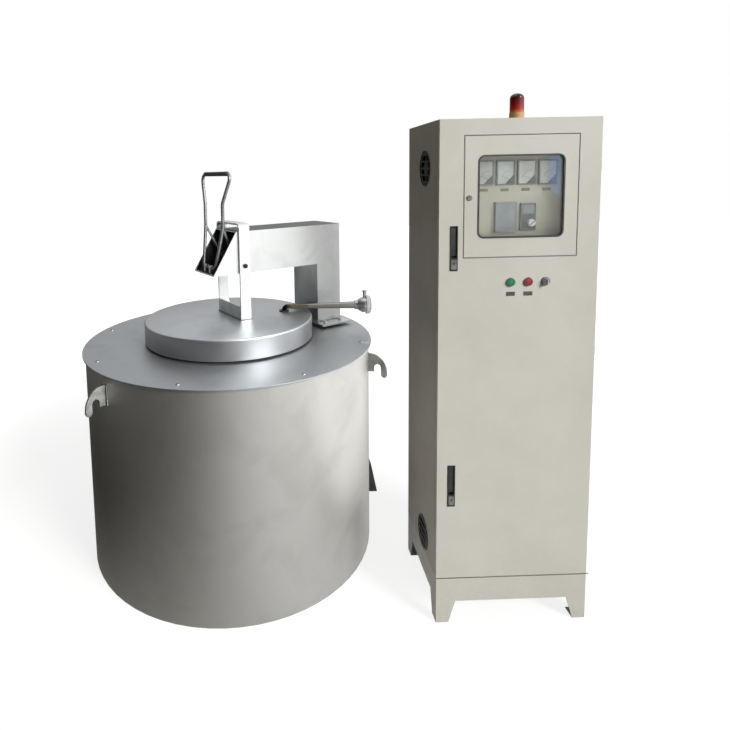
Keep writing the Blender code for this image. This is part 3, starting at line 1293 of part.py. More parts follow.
def build_panel(door):
    """The tray behind the window with its meters and controller housings."""
    left, low, right, top = OPENING
    grow = SHEET * 2
    start, back = DOOR_DEPTH + FIT, PANEL_DEPTH + SHEET
    tray = make_part("instrument_tray", box((left - grow, start, low - grow), (right + grow, back, top + grow)),
                     "cabinet_paint", door)
    cut(tray, box((left - SHEET, start - OVERRUN, low - SHEET), (right + SHEET, PANEL_DEPTH, top + SHEET)))
    holes = bmesh.new()
    half, rise, inset = METER_WIDTH / 2, METER_HEIGHT / 2, METER_BODY_INSET
    for number in range(METER_COUNT):
        x = METER_FIRST + METER_PITCH * number
        solid = box((x - half, PANEL_DEPTH - METER_BEZEL, METER_CENTRE - rise),
                    (x + half, PANEL_DEPTH - FIT, METER_CENTRE + rise))
        meter = make_part("panel_meter_" + "abcd"[number], solid, "pale_plastic", door)
        join(meter, box((x - half + inset, PANEL_DEPTH - METER_BEZEL / 2, METER_CENTRE - rise + inset),
                        (x + half - inset, PANEL_DEPTH + METER_BODY, METER_CENTRE + rise - inset)))
        cut(meter, prism(meter_window(x), 1, PANEL_DEPTH - METER_BEZEL - OVERRUN,
                         PANEL_DEPTH - METER_BEZEL + METER_RECESS))
        edge = inset - FIT
        add_box(holes, (x - half + edge, PANEL_DEPTH - OVERRUN, METER_CENTRE - rise + edge),
                (x + half - edge, back + OVERRUN, METER_CENTRE + rise - edge))
    cut(tray, holes)
    modules = (("display_module", DISPLAY_PLACE, DISPLAY_WIDTH, DISPLAY_HEIGHT, DISPLAY_PROUD),
               ("controller_module", MODULE_PLACE, MODULE_WIDTH, MODULE_HEIGHT, MODULE_PROUD))
    for name, x, width, height, proud in modules:
        solid = box((x - width / 2, PANEL_DEPTH - proud, DISPLAY_CENTRE - height / 2),
                    (x + width / 2, PANEL_DEPTH - FIT, DISPLAY_CENTRE + height / 2))
        housing = make_part(name, solid, "grey_plastic", door)
        front = PANEL_DEPTH - proud
        reach, rise = width / 2 - MODULE_RIM, height / 2 - MODULE_RIM
        cut(housing, box((x - reach, front - OVERRUN, DISPLAY_CENTRE - rise),
                         (x + reach, front + MODULE_RECESS, DISPLAY_CENTRE + rise)))


def build_collars(door):
    """Chrome collars of the two buttons and the selector, on one strip behind the door."""
    inner, outer = BUTTON_HOLE - FIT, COLLAR_RADIUS
    profile = ((0, -COLLAR_PROUD), (outer * 0.9, -COLLAR_PROUD), (outer, -COLLAR_PROUD / 2), (outer, -FIT),
               (inner, -FIT), (inner, COLLAR_NECK), (0, COLLAR_NECK))
    places = [along((0, 1, 0), (BUTTON_FIRST + BUTTON_PITCH * number, 0, BUTTON_CENTRE)) for number in range(BUTTON_COUNT)]
    last = BUTTON_FIRST + BUTTON_PITCH * (BUTTON_COUNT - 1)
    strip = box((BUTTON_FIRST - STRIP_HALF, STRIP_START, BUTTON_CENTRE - STRIP_HALF),
                (last + STRIP_HALF, STRIP_START + STRIP_THICKNESS, BUTTON_CENTRE + STRIP_HALF))
    station = make_part("button_station", strip, "chrome", door)
    collars, bores = bmesh.new(), bmesh.new()
    for place in places:
        add_lathe(collars, profile, SMALL_ROUND, place)
        add_lathe(bores, disc(COLLAR_BORE, -OVERRUN, COLLAR_NECK + OVERRUN), SMALL_ROUND, place)
    join(station, collars)
    cut(station, bores)


def build_push_button(name, finish, pivot):
    """A push button's cap and stem, sliding in its collar."""
    profile = ((0, -BUTTON_PROUD), (BUTTON_RADIUS * 0.85, -BUTTON_PROUD), (BUTTON_RADIUS, -BUTTON_PROUD * 0.8),
               (BUTTON_RADIUS, BUTTON_STEM), (0, BUTTON_STEM))
    make_part(name, lathe(profile, SMALL_ROUND, along((0, 1, 0), pivot.point)), finish, pivot)


def build_selector(pivot):
    """The selector switch: a round boss with a lever across it."""
    profile = ((0, -BUTTON_PROUD), (BUTTON_RADIUS, -BUTTON_PROUD), (BUTTON_RADIUS, BUTTON_STEM), (0, BUTTON_STEM))
    switch = make_part("selector_switch", lathe(profile, SMALL_ROUND, along((0, 1, 0), pivot.point)),
                       "black_plastic", pivot)
    x, z = pivot.point.x, pivot.point.z
    half = BUTTON_RADIUS / 4
    join(switch, box((x - half, -BUTTON_PROUD - SELECTOR_LEVER, z - BUTTON_RADIUS),
                     (x + half, -COLLAR_PROUD - WELD, z + BUTTON_RADIUS)))


def build_knob(pivot):
    """The controller's adjusting knob, with a pointer rib."""
    start = PANEL_DEPTH - MODULE_PROUD + MODULE_RECESS - FIT
    radius = KNOB_RADIUS
    profile = ((0, 0), (radius, 0), (radius * 0.88, KNOB_HEIGHT), (0, KNOB_HEIGHT))
    place = along((0, -1, 0), (pivot.point.x, start, pivot.point.z))
    knob = make_part("controller_knob", lathe(profile, SMALL_ROUND, place), "pale_plastic", pivot)
    x, z = pivot.point.x, pivot.point.z
    half = radius / 8
    join(knob, box((x - half, start - KNOB_HEIGHT * 1.1, z), (x + half, start - KNOB_HEIGHT / 2, z + radius * 0.9)))


def build_locks(door):
    """Recessed dishes of the two plane locks, with the raised release button."""
    half, rise = LOCK_WIDTH / 2, LOCK_HEIGHT / 2
    inner, height = half - LOCK_RIM - FIT, rise - LOCK_RIM - FIT
    border = half - LOCK_BORDER
    for name, level in zip(("upper", "lower"), LOCK_CENTRES):
        solid = box((LOCK_PLACE - half, -LOCK_RIM - FIT, level - rise), (LOCK_PLACE + half, -FIT, level + rise))
        dish = make_part("lock_dish_" + name, solid, "black_plastic", door)
        join(dish, box((LOCK_PLACE - inner, -LOCK_RIM / 2 - FIT, level - height),
                       (LOCK_PLACE + inner, LOCK_DEPTH, level + height)))
        low = level - rise + LOCK_BORDER + LOCK_BUTTON_HEIGHT
        cut(dish, box((LOCK_PLACE - border, -OVERRUN, low),
                      (LOCK_PLACE + border, LOCK_POCKET_DEPTH, level + rise - LOCK_BORDER)))


def build_lock_handle(name, pivot):
    """A flip-out lock lever, held between the dish's sides at its upper end."""
    x, z = pivot.point.x, pivot.point.z
    half = LOCK_WIDTH / 2 - LOCK_BORDER - FIT
    turn = LOCK_HANDLE_THICKNESS / 2
    low = z - (LOCK_HEIGHT - 2 * LOCK_BORDER - LOCK_BUTTON_HEIGHT) + 2 * turn + 2 * RUNNING_GAP
    depth = pivot.point.y
    outline = arc((depth, z), turn, 0, 180, 6)
    outline += [(depth - turn, low + turn / 2), (depth - turn / 2, low), (depth + turn, low)]
    make_part(name, prism(outline, 0, x - half, x + half), "black_plastic", pivot)


def build_window(window):
    """The window door: folded frame, rubber seal and glass."""
    left, low, right, high = WINDOW_LEFT, WINDOW_LOW, WINDOW_RIGHT, WINDOW_HIGH
    frame = make_part("window_door", box((left, 0, low), (right, WINDOW_DEPTH, high)), "cabinet_paint", window)
    cut(frame, box((left + SHEET, SHEET, low + SHEET), (right - SHEET, WINDOW_DEPTH + OVERRUN, high - SHEET)))
    pane_low = (left + PANE_SIDE_MARGIN, low + PANE_TOP_MARGIN)
    pane_high = (right - PANE_SIDE_MARGIN, high - PANE_TOP_MARGIN)
    cut(frame, prism(rounded_rectangle(pane_low, pane_high, PANE_CORNER), 1, -OVERRUN, OVERRUN))
    bores = bmesh.new()
    for level in (low - OVERRUN, high - OVERRUN):
        place = Matrix.Translation((window.point.x, window.point.y, level))
        add_lathe(bores, disc(WINDOW_PIN_RADIUS + FIT, 0, 2 * OVERRUN), 8, place)
    keyhole = disc(KEYLOCK_STEM + FIT, -OVERRUN, OVERRUN)
    add_lathe(bores, keyhole, SMALL_ROUND, along((0, 1, 0), (KEYLOCK_PLACE, 0, KEYLOCK_CENTRE)))
    cut(frame, bores)
    seal = bmesh.new()
    section = ((-SEAL_WIDTH, -SEAL_PROUD), (-FIT, -SEAL_PROUD), (-FIT, SHEET + FIT),
               (SEAL_LAP, SHEET + FIT), (SEAL_LAP, SEAL_DEPTH), (-SEAL_WIDTH, SEAL_DEPTH))
    add_ring_loft(seal, section, pane_low, pane_high, PANE_CORNER)
    make_part("window_seal", seal, "rubber", window)
    grow = SEAL_LAP - SHEET
    start = SEAL_DEPTH + FIT
    outline = rounded_rectangle((pane_low[0] - grow, pane_low[1] - grow),
                                (pane_high[0] + grow, pane_high[1] + grow), PANE_CORNER)
    make_part("window_glass", prism(outline, 1, start, start + GLASS_THICKNESS), "glass", window)


def build_keylock(pivot):
    """The round cam lock of the window door."""
    place = along((0, 1, 0), (pivot.point.x, 0, pivot.point.z))
    profile = ((0, -KEYLOCK_PROUD), (KEYLOCK_RADIUS * 0.85, -KEYLOCK_PROUD), (KEYLOCK_RADIUS, -KEYLOCK_PROUD / 2),
               (KEYLOCK_RADIUS, -FIT), (KEYLOCK_STEM, -FIT), (KEYLOCK_STEM, KEYLOCK_LENGTH), (0, KEYLOCK_LENGTH))
    lock = make_part("window_keylock", lathe(profile, SMALL_ROUND, place), "chrome", pivot)
    half = KEYLOCK_PROUD / 6
    x, z = pivot.point.x, pivot.point.z
    cut(lock, box((x - half, -2 * KEYLOCK_PROUD, z - KEYLOCK_STEM),
                  (x + half, -KEYLOCK_PROUD / 2, z + KEYLOCK_STEM)))


def build_furnace():
    """Everything that stands still on the furnace."""
    build_shell()
    build_base_and_top()
    build_chamber()
    build_coil()
    build_hooks()
    build_hood()
    build_swivel()


def build_lifting_gear():
    """Arm, lid and handle, each on the pivot that it moves about."""
    place = Vector((math.cos(ARM_HEADING), math.sin(ARM_HEADING), 0)) * ARM_REACH
    arm = make_pivot("arm_swing", (ARM_REACH, 0, 0), place=place, turn=ARM_HEADING)
    build_arm(arm)
    build_arm_foot(arm)
    lid = make_pivot("lid_lift", (STIRRUP_PLACE, 0, PIN_HEIGHT), arm)
    build_lid(lid)
    build_stirrup(lid)
    build_probe(lid)
    handle = make_pivot("handle_tip", (HANDLE_PIVOT_PLACE, 0, HANDLE_PIVOT_HEIGHT), arm)
    build_handle(handle)


def build_cabinet():
    """The power cabinet with its doors, controls and inner parts."""
    cabinet = make_pivot("cabinet_place", (0, 0, 0), place=(CABINET_X, CABINET_Y, 0))
    body = build_cabinet_body(cabinet)
    build_plinth(cabinet)
    build_vents(cabinet)
    build_fan(cabinet)
    build_rotor(make_pivot("fan_turn", (0, VENT_DEPTH, VENT_CENTRES[0]), cabinet))
    build_inside(cabinet)
    build_beacon(cabinet)
    door = make_pivot("door_swing", (HINGE_X, HINGE_Y, 0), cabinet)
    build_hinges(body, build_door(door))
    build_panel(door)
    build_collars(door)
    build_locks(door)
    for name, level in zip(("upper", "lower"), LOCK_CENTRES):
        turn = LOCK_HANDLE_THICKNESS / 2
        top = level + LOCK_HEIGHT / 2 - LOCK_BORDER - turn - RUNNING_GAP
        lever = make_pivot("lock_flip_" + name, (LOCK_PLACE, LOCK_POCKET_DEPTH - turn - RUNNING_GAP, top), door)
        build_lock_handle("lock_handle_" + name, lever)
    controls = [(BUTTON_FIRST + BUTTON_PITCH * number, 0, BUTTON_CENTRE) for number in range(BUTTON_COUNT)]
    build_push_button("start_button", "green_plastic", make_pivot("start_press", controls[0], door))
    build_push_button("stop_button", "red_plastic", make_pivot("stop_press", controls[1], door))
    build_selector(make_pivot("selector_turn", controls[2], door))
    build_knob(make_pivot("knob_turn", (KNOB_PLACE, PANEL_DEPTH, KNOB_CENTRE), door))
    window = make_pivot("window_swing", (WINDOW_RIGHT - WINDOW_HINGE_INSET, WINDOW_HINGE_DEPTH, 0), door)
    build_window(window)
    build_keylock(make_pivot("keylock_turn", (KEYLOCK_PLACE, 0, KEYLOCK_CENTRE), window))


def main():
    clear_scene()
    build_furnace()
    build_lifting_gear()
    build_cabinet()


main()
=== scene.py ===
"""Looks of the induction melting furnace and its power cabinet.

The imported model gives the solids. This script gives each one its finish, adds
the small pieces that the solids leave out, and sets the studio and the camera.
Metres, +Z up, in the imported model's frame: the furnace's axis stands on the
origin, and the cabinet stands to its right.
"""
import json
import logging
import math
from dataclasses import dataclass
from enum import Enum
from functools import partial
from typing import Any, Callable, ClassVar, Sequence

import bmesh
import bpy
from bpy.types import Mesh, Node, NodeSocket, NodeTree, Object
from mathutils import Matrix, Vector


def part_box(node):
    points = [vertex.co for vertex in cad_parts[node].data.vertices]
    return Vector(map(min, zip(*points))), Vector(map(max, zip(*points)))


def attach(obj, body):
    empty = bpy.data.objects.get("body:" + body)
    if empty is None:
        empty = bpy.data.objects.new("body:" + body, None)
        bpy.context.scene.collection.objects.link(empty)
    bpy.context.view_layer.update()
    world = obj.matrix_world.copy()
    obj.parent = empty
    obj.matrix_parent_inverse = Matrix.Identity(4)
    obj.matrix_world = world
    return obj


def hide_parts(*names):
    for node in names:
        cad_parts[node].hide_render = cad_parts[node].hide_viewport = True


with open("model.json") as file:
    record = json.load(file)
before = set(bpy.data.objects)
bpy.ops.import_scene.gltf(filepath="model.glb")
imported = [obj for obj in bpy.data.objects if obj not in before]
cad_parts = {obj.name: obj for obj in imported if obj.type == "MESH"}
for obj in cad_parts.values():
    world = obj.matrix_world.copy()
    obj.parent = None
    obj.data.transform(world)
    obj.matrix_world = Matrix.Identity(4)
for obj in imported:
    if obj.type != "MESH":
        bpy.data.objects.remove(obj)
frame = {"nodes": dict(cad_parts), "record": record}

LOG = logging.getLogger("furnace")
SLOTS = {name: node.material_slots[0].material.name for name, node in frame["nodes"].items()}
Point = Sequence[float]
Outline = Sequence[Point]
Stops = tuple[tuple[float, str], ...]
Feeds = dict[Any, Any]
Adder = Callable[..., Node]
Pair = tuple[float, float]
Triple = tuple[float, float, float]

# A flat trim starts this far off the face behind it, so that no two faces share a plane
SEAT = 0.0001

# Where a shape goes that is given no other place
ORIGIN = Matrix()

# Blender's names of the nodes that are used most
NOISE = "ShaderNodeTexNoise"
RAMP = "ShaderNodeValToRGB"
RANGE = "ShaderNodeMapRange"
BUMP = "ShaderNodeBump"
MATH = "ShaderNodeMath"
SPLIT = "ShaderNodeSeparateXYZ"
BLEND = "ShaderNodeMix"


class Body(Enum):
    """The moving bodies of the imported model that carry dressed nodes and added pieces."""

    BASE = "base"
    ARM = "arm"
    LID = "lid"
    HANDLE = "handle"
    FAN = "fan"
    DOOR = "door"
    WINDOW = "window"
    UPPER_LOCK = "upper_lock"
    LOWER_LOCK = "lower_lock"
    KEYLOCK = "keylock"
    START = "start"
    STOP = "stop"
    SELECTOR = "selector"
    KNOB = "knob"


# Shader helpers

def linear(code: str) -> tuple[float, float, float, float]:
    """Turn an sRGB hex colour to linear light.

    Args:
        code: Six hex digits.

    Returns:
        Red, green, blue and an alpha of 1, all linear.
    """
    values = [int(code[place:place + 2], 16) / 255 for place in (0, 2, 4)]
    red, green, blue = (value / 12.92 if value <= 0.04045 else ((value + 0.055) / 1.055) ** 2.4
                        for value in values)
    return (red, green, blue, 1.0)


def feed_node(node: Node, feeds: Feeds) -> None:
    """Set or link a node's inputs.

    Args:
        node: The node.
        feeds: Input name or number to a value, a hex colour, or the socket or node that feeds it.
    """
    for key, value in feeds.items():
        if isinstance(value, Node):
            value = next(socket for socket in value.outputs if socket.enabled)
        if isinstance(value, NodeSocket):
            node.id_data.links.new(value, node.inputs[key])
        else:
            node.inputs[key].default_value = linear(value) if isinstance(value, str) else value


def add_node(tree: NodeTree, kind: str, feeds: Feeds | None = None, stops: Stops = (),
             **settings: Any) -> Node:
    """Add a node with its settings, its values and its links.

    Args:
        tree: The tree that gets the node.
        kind: The node's type name.
        feeds: Its inputs, as feed_node takes them.
        stops: Place and hex colour of each stop, in order, where the node is a colour ramp.
        settings: Attributes to set on the node.

    Returns:
        The new node.
    """
    node = tree.nodes.new(kind)
    for name, value in settings.items():
        setattr(node, name, value)
    feed_node(node, feeds or {})
    if stops:
        elements = node.color_ramp.elements
        for element, (place, code) in zip(elements, (stops[0], stops[-1])):
            element.position, element.color = place, linear(code)
        for place, code in stops[1:-1]:
            elements.new(place).color = linear(code)
    return node


def clear_tree(owner: Any) -> Adder:
    """Empty the node tree of a material or a world.

    Args:
        owner: The material or world.

    Returns:
        What adds a node to its tree, as add_node does.
    """
    owner.use_nodes = True
    owner.node_tree.nodes.clear()
    return partial(add_node, owner.node_tree)


@dataclass(frozen=True)
class Finish:
    """What every finish shares: its name, colour, darker shade, roughness and metal."""

    name: str
    tone: str
    shade: str
    rough: float
    metal: float = 0.0

    def dress(self, add: Adder, place: NodeSocket) -> Feeds:
        """Build the finish's own pattern.

        Args:
            add: Adds a node to the material's tree.
            place: Object coordinates, in metres.

        Returns:
            What the pattern feeds to the inputs of the Principled BSDF, by their names.
        """
        raise NotImplementedError(self.name)

    def material(self) -> bpy.types.Material:
        """Build the material, once for each name.

        Returns:
            The material, new or already built.
        """
        known = bpy.data.materials.get(self.name)
        if known:
            return known
        material = bpy.data.materials.new(self.name)
        add = clear_tree(material)
        surface = add("ShaderNodeBsdfPrincipled", {
            "Base Color": self.tone, "Roughness": self.rough, "Metallic": self.metal})
        add("ShaderNodeOutputMaterial", {"Surface": surface})
        feed_node(surface, self.dress(add, add("ShaderNodeTexCoord").outputs["Object"]))
        return material


@dataclass(frozen=True)
class SatinSheet(Finish):
    """Stainless sheet, rubbed satin: fine grain along one way, and soft smudges from handling.

    To the eye: a silver with no mirror image, a little darker where hands and smoke have been.
    The real grain of about 0.1 mm is too fine to show, so it is drawn 2 to 3 mm wide.
    """

    metal: float = 1.0
    grain: float = 0.002
    stretch: Point = (1.0, 1.0, 0.04)
    smudge: float = 0.14
    contrast: float = 0.10
    relief: float = 0.08

    def dress(self, add: Adder, place: NodeSocket) -> Feeds:
        """Smudge the colour, rub the grain, and let both make the gloss uneven.

        Args:
            add: Adds a node to the material's tree.
            place: Object coordinates, in metres.

        Returns:
            What it feeds to the Principled BSDF, by input name.
        """
        smudge = add(NOISE, {"Vector": place, "Scale": 1 / self.smudge, "Detail": 4.0,
                             "Roughness": 0.55, "Distortion": 0.6})
        turned = add("ShaderNodeMapping", {"Vector": place, "Scale": self.stretch})
        grain = add(NOISE, {"Vector": turned, "Scale": 1 / self.grain, "Detail": 2.0})
        both = add(MATH, {0: grain, 1: smudge}, operation="ADD")
        return {"Base Color": add(RAMP, {"Fac": smudge},
                                  ((0.32, self.shade), (0.52, self.tone), (0.8, self.tone))),
                "Roughness": add(RANGE, {"Value": both, "From Min": 0.7, "From Max": 1.3,
                                         "To Min": self.rough + self.contrast,
                                         "To Max": self.rough - self.contrast / 2}),
                "Normal": add(BUMP, {"Height": grain, "Strength": self.relief,
                                     "Distance": 0.0005})}


@dataclass(frozen=True)
class ShadePaintedSheet(SatinSheet):
    """Satin sheet with painted shade: its colour turns darker above a height, on the arm's top face.

    A negative span turns it over, so that the painted shade lies below the height, on the lid's side.
    """

    painted_shade_tone: str = "505151"
    height: float = 1.3850
    span: float = 0.0008

    def dress(self, add: Adder, place: NodeSocket) -> Feeds:
        """Lay the painted shade over the sheet's pattern.

        Args:
            add: Adds a node to the material's tree.
            place: Object coordinates, in metres.

        Returns:
            What it feeds to the Principled BSDF, by input name.
        """
        feeds = super().dress(add, place)
        # Painted shade: a darker colour past the height
        share = add(RANGE, {"Value": add(SPLIT, {"Vector": place}).outputs["Z"],
                            "From Min": self.height, "From Max": self.height + self.span})
        colours = {"Factor": share, "A": feeds["Base Color"], "B": self.painted_shade_tone}
        return {**feeds, "Base Color": add(BLEND, colours, data_type="RGBA")}


@dataclass(frozen=True)
class PlainMetal(Finish):
    """Turned, drawn, cast or plated metal: even, with a faint cloud every 25 mm in its colour and gloss.

    Its real tool marks of about 0.1 mm are too fine to show, so they are drawn 3 mm wide.
    """

    metal: float = 1.0
    cloud: float = 0.025
    grain: float = 0.003
    relief: float = 0.03

    def dress(self, add: Adder, place: NodeSocket) -> Feeds:
        """Cloud the colour and the gloss, and add a fine relief.

        Args:
            add: Adds a node to the material's tree.
            place: Object coordinates, in metres.

        Returns:
            What it feeds to the Principled BSDF, by input name.
        """
        cloud = add(NOISE, {"Vector": place, "Scale": 1 / self.cloud, "Detail": 4.0})
        fine = add(NOISE, {"Vector": place, "Scale": 1 / self.grain, "Detail": 2.0})
        return {"Base Color": add(RAMP, {"Fac": cloud}, ((0.35, self.shade), (0.6, self.tone))),
                "Roughness": add(RANGE, {"Value": cloud, "From Min": 0.3, "From Max": 0.7,
                                         "To Min": self.rough * 0.8, "To Max": self.rough * 1.25}),
                "Normal": add(BUMP, {"Height": fine, "Strength": self.relief, "Distance": 0.0004})}


@dataclass(frozen=True)
class PowderPaint(Finish):
    """Baked powder paint on sheet steel: fine orange peel, and dust that gathers towards the floor.

    The real peel of about 1 mm is drawn 4 mm wide so that it shows. The paint is uneven over
    some 300 mm, and the dust lies in specks of 17 mm, 60 to a metre.
    """

    cloud: float = 0.3125
    specks: float = 60.0
    dust: str = "8E8A7C"
    dust_share: float = 0.35
    dust_height: float = 0.30
    peel: float = 0.004
    relief: float = 0.10

    def dress(self, add: Adder, place: NodeSocket) -> Feeds:
        """Make the paint uneven, dust it low down, and add the orange peel.

        Args:
            add: Adds a node to the material's tree.
            place: Object coordinates, in metres.

        Returns:
            What it feeds to the Principled BSDF, by input name.
        """
        cloud = add(NOISE, {"Vector": place, "Scale": 1 / self.cloud, "Detail": 5.0, "Roughness": 0.6})
        speck = add(NOISE, {"Vector": place, "Scale": self.specks, "Detail": 6.0, "Roughness": 0.7})
        peel = add(NOISE, {"Vector": place, "Scale": 1 / self.peel, "Detail": 1.0})
        paint = add(RAMP, {"Fac": cloud}, ((0.3, self.shade), (0.6, self.tone)))
        low = add(RANGE, {"Value": add(SPLIT, {"Vector": place}).outputs["Z"],
                          "From Max": self.dust_height, "To Min": self.dust_share, "To Max": 0.0})
        share = add(MATH, {0: low, 1: speck}, operation="MULTIPLY")
        return {"Base Color": add(BLEND, {"Factor": share, "A": paint, "B": self.dust},
                                  data_type="RGBA"),
                "Roughness": add(RANGE, {"Value": speck, "From Min": 0.3, "From Max": 0.7,
                                         "To Min": self.rough - 0.05, "To Max": self.rough + 0.1}),
                "Normal": add(BUMP, {"Height": peel, "Strength": self.relief, "Distance": 0.0004})}


@dataclass(frozen=True)
class Moulded(Finish):
    """Moulded plastic, rubber or card: a spark-eroded grain that breaks up its gloss.

    The real grain of about 0.1 mm is drawn 1.5 mm wide so that it shows. Wear clouds the colour
    every 33 mm, 30 times a metre.
    """

    clouds: float = 30.0
    grain: float = 0.0015
    relief: float = 0.15

    def dress(self, add: Adder, place: NodeSocket) -> Feeds:
        """Make the colour slightly uneven, and add the moulded grain.

        Args:
            add: Adds a node to the material's tree.
            place: Object coordinates, in metres.

        Returns:
            What it feeds to the Principled BSDF, by input name.
        """
        cloud = add(NOISE, {"Vector": place, "Scale": self.clouds, "Detail": 3.0})
        grain = add("ShaderNodeTexVoronoi", {"Vector": place, "Scale": 1 / self.grain})
        return {"Base Color": add(RAMP, {"Fac": cloud}, ((0.35, self.shade), (0.65, self.tone))),
                "Normal": add(BUMP, {"Height": grain, "Strength": self.relief, "Distance": 0.0003})}


@dataclass(frozen=True)
class Grainy(Finish):
    """Fired, pressed or felted stuff: refractory, graphite and fibre, with visible grit.

    The real grit of 1 to 3 mm is drawn 3 to 8 mm wide so that it shows.
    """

    grit: float = 0.006
    relief: float = 0.5

    def dress(self, add: Adder, place: NodeSocket) -> Feeds:
        """Show the grit in colour and relief.

        Args:
            add: Adds a node to the material's tree.
            place: Object coordinates, in metres.

        Returns:
            What it feeds to the Principled BSDF, by input name.
        """
        grit = add(NOISE, {"Vector": place, "Scale": 1 / self.grit, "Detail": 5.0, "Roughness": 0.7})
        return {"Base Color": add(RAMP, {"Fac": grit}, ((0.35, self.shade), (0.62, self.tone))),
                "Normal": add(BUMP, {"Height": grit, "Strength": self.relief, "Distance": 0.001})}


@dataclass(frozen=True)
class ClearSheet(Finish):
    """Window glass: clear, with faint wiping marks that show in its gloss.

    The marks run level, some 170 mm long, 6 to a metre, and 20 mm high. The turn by wipe only
    picks which part of the pattern shows.
    """

    index: float = 1.5
    marks: float = 6.0
    wipe: float = 0.6
    stretch: Point = (1.0, 1.0, 8.0)

    def dress(self, add: Adder, place: NodeSocket) -> Feeds:
        """Make it clear, and lay the wiping marks across the pane.

        Args:
            add: Adds a node to the material's tree.
            place: Object coordinates, in metres.

        Returns:
            What it feeds to the Principled BSDF, by input name.
        """
        turned = add("ShaderNodeMapping", {"Vector": place, "Rotation": (0, self.wipe, 0),
                                           "Scale": self.stretch})
        marks = add(NOISE, {"Vector": turned, "Scale": self.marks, "Detail": 4.0})
        return {"Transmission Weight": 1.0, "IOR": self.index,
                "Base Color": add(RAMP, {"Fac": marks}, ((0.3, self.tone), (0.8, self.shade))),
                "Roughness": add(RANGE, {"Value": marks, "From Min": 0.45, "From Max": 0.75,
                                         "To Min": self.rough, "To Max": self.rough + 0.06})}


@dataclass(frozen=True)
class StainedTube(Finish):
    """Stainless tube browned by heat near the lid, clean and grey towards its head.

    To the eye: dark brown at the elbow, then straw, fading to a satin grey along the tube.
    The stain is uneven every 33 mm, 30 times a metre.
    """

    metal: float = 1.0
    clouds: float = 30.0
    start: float = 0.24
    length: float = 0.22
    scorch: str = "262321"
    straw: str = "A39885"

    def dress(self, add: Adder, place: NodeSocket) -> Feeds:
        """Let the stain fade along X, and cloud the gloss.

        Args:
            add: Adds a node to the material's tree.
            place: Object coordinates, in metres.

        Returns:
            What it feeds to the Principled BSDF, by input name.
        """
        cloud = add(NOISE, {"Vector": place, "Scale": self.clouds, "Detail": 3.0})
        along = add(RANGE, {"Value": add(SPLIT, {"Vector": place}).outputs["X"],
                            "From Min": self.start, "From Max": self.start + self.length})
        fade = add(MATH, {0: cloud, 1: 0.25, 2: along}, operation="MULTIPLY_ADD")
        return {"Base Color": add(RAMP, {"Fac": fade}, ((0.21, self.scorch), (0.33, self.shade),
                                                        (0.56, self.straw), (0.95, self.tone))),
                "Roughness": add(RANGE, {"Value": cloud, "To Min": self.rough - 0.08,
                                         "To Max": self.rough + 0.12})}


@dataclass(frozen=True)
class TintedDome(Finish):
    """Red lens of a beacon: clear plastic that lets its lamp socket show as an orange foot.

    The colour wavers a little every 17 mm, 60 times a metre.
    """

    specks: float = 60.0
    low: float = 1.8366
    high: float = 1.906
    foot: str = "E08A4A"
    glow: str = "B8301C"
    deep: str = "6A0A10"

    def dress(self, add: Adder, place: NodeSocket) -> Feeds:
        """Colour it by height: orange over the socket, red, and dark in the crown.

        Args:
            add: Adds a node to the material's tree.
            place: Object coordinates, in metres.

        Returns:
            What it feeds to the Principled BSDF, by input name.
        """
        height = add(RANGE, {"Value": add(SPLIT, {"Vector": place}).outputs["Z"],
                             "From Min": self.low, "From Max": self.high})
        cloud = add(NOISE, {"Vector": place, "Scale": self.specks, "Detail": 2.0})
        mixed = add(MATH, {0: cloud, 1: 0.12, 2: height}, operation="MULTIPLY_ADD")
        return {"Transmission Weight": 0.25, "Coat Weight": 0.4,
                "Base Color": add(RAMP, {"Fac": mixed}, (
                    (0.06, self.foot), (0.22, self.glow), (0.45, self.tone), (0.72, self.deep),
                    (0.95, self.shade)))}


# Stainless sheet, rubbed satin: soft bands of light, no mirror image; painted shade on the arm's top and
# lid's side
SHELL = SatinSheet("satin stainless shell", "C4C3BF", "BCBBB7", 0.50, grain=0.003, smudge=0.16,
                   relief=0.05, contrast=0.04)
PLATE = SatinSheet("satin stainless plate", "B4B7BA", "ADB0B3", 0.44, stretch=(1, 1, 1), smudge=0.16,
                   contrast=0.04)
# The lid's side and the arm's top face get a darker colour: painted shade
LID_SKIN = ShadePaintedSheet("satin stainless lid", "C8CBCE", "C1C4C7", 0.42, stretch=(1, 1, 1), smudge=0.12,
                       contrast=0.04, painted_shade_tone="B0B1B2", height=0.9905, span=-0.005)
ARM_SKIN = ShadePaintedSheet("brushed stainless arm", "D6D8D7", "CCCECE", 0.36, stretch=(0.2, 0.2, 1), smudge=0.12,
                       contrast=0.06)
STRAP = SatinSheet("bright flat bar", "DEE0E0", "D0D3D3", 0.38, stretch=(1, 1, 0.05), smudge=0.06)

# Zinc coated, mill and painted steel: dull greys that hold little light
HOOK_STEEL = PlainMetal("zinc coated hook steel", "B9BAB5", "94958F", 0.50, metal=0.7)
DARK_STEEL = PlainMetal("dark mill steel", "5E5F5D", "484947", 0.55, metal=0.8)
BASE_STEEL = PlainMetal("painted base steel", "5B5B5A", "444443", 0.60, metal=0.6)
ZINC = PlainMetal("galvanised sheet", "B3B7B9", "969B9F", 0.38)

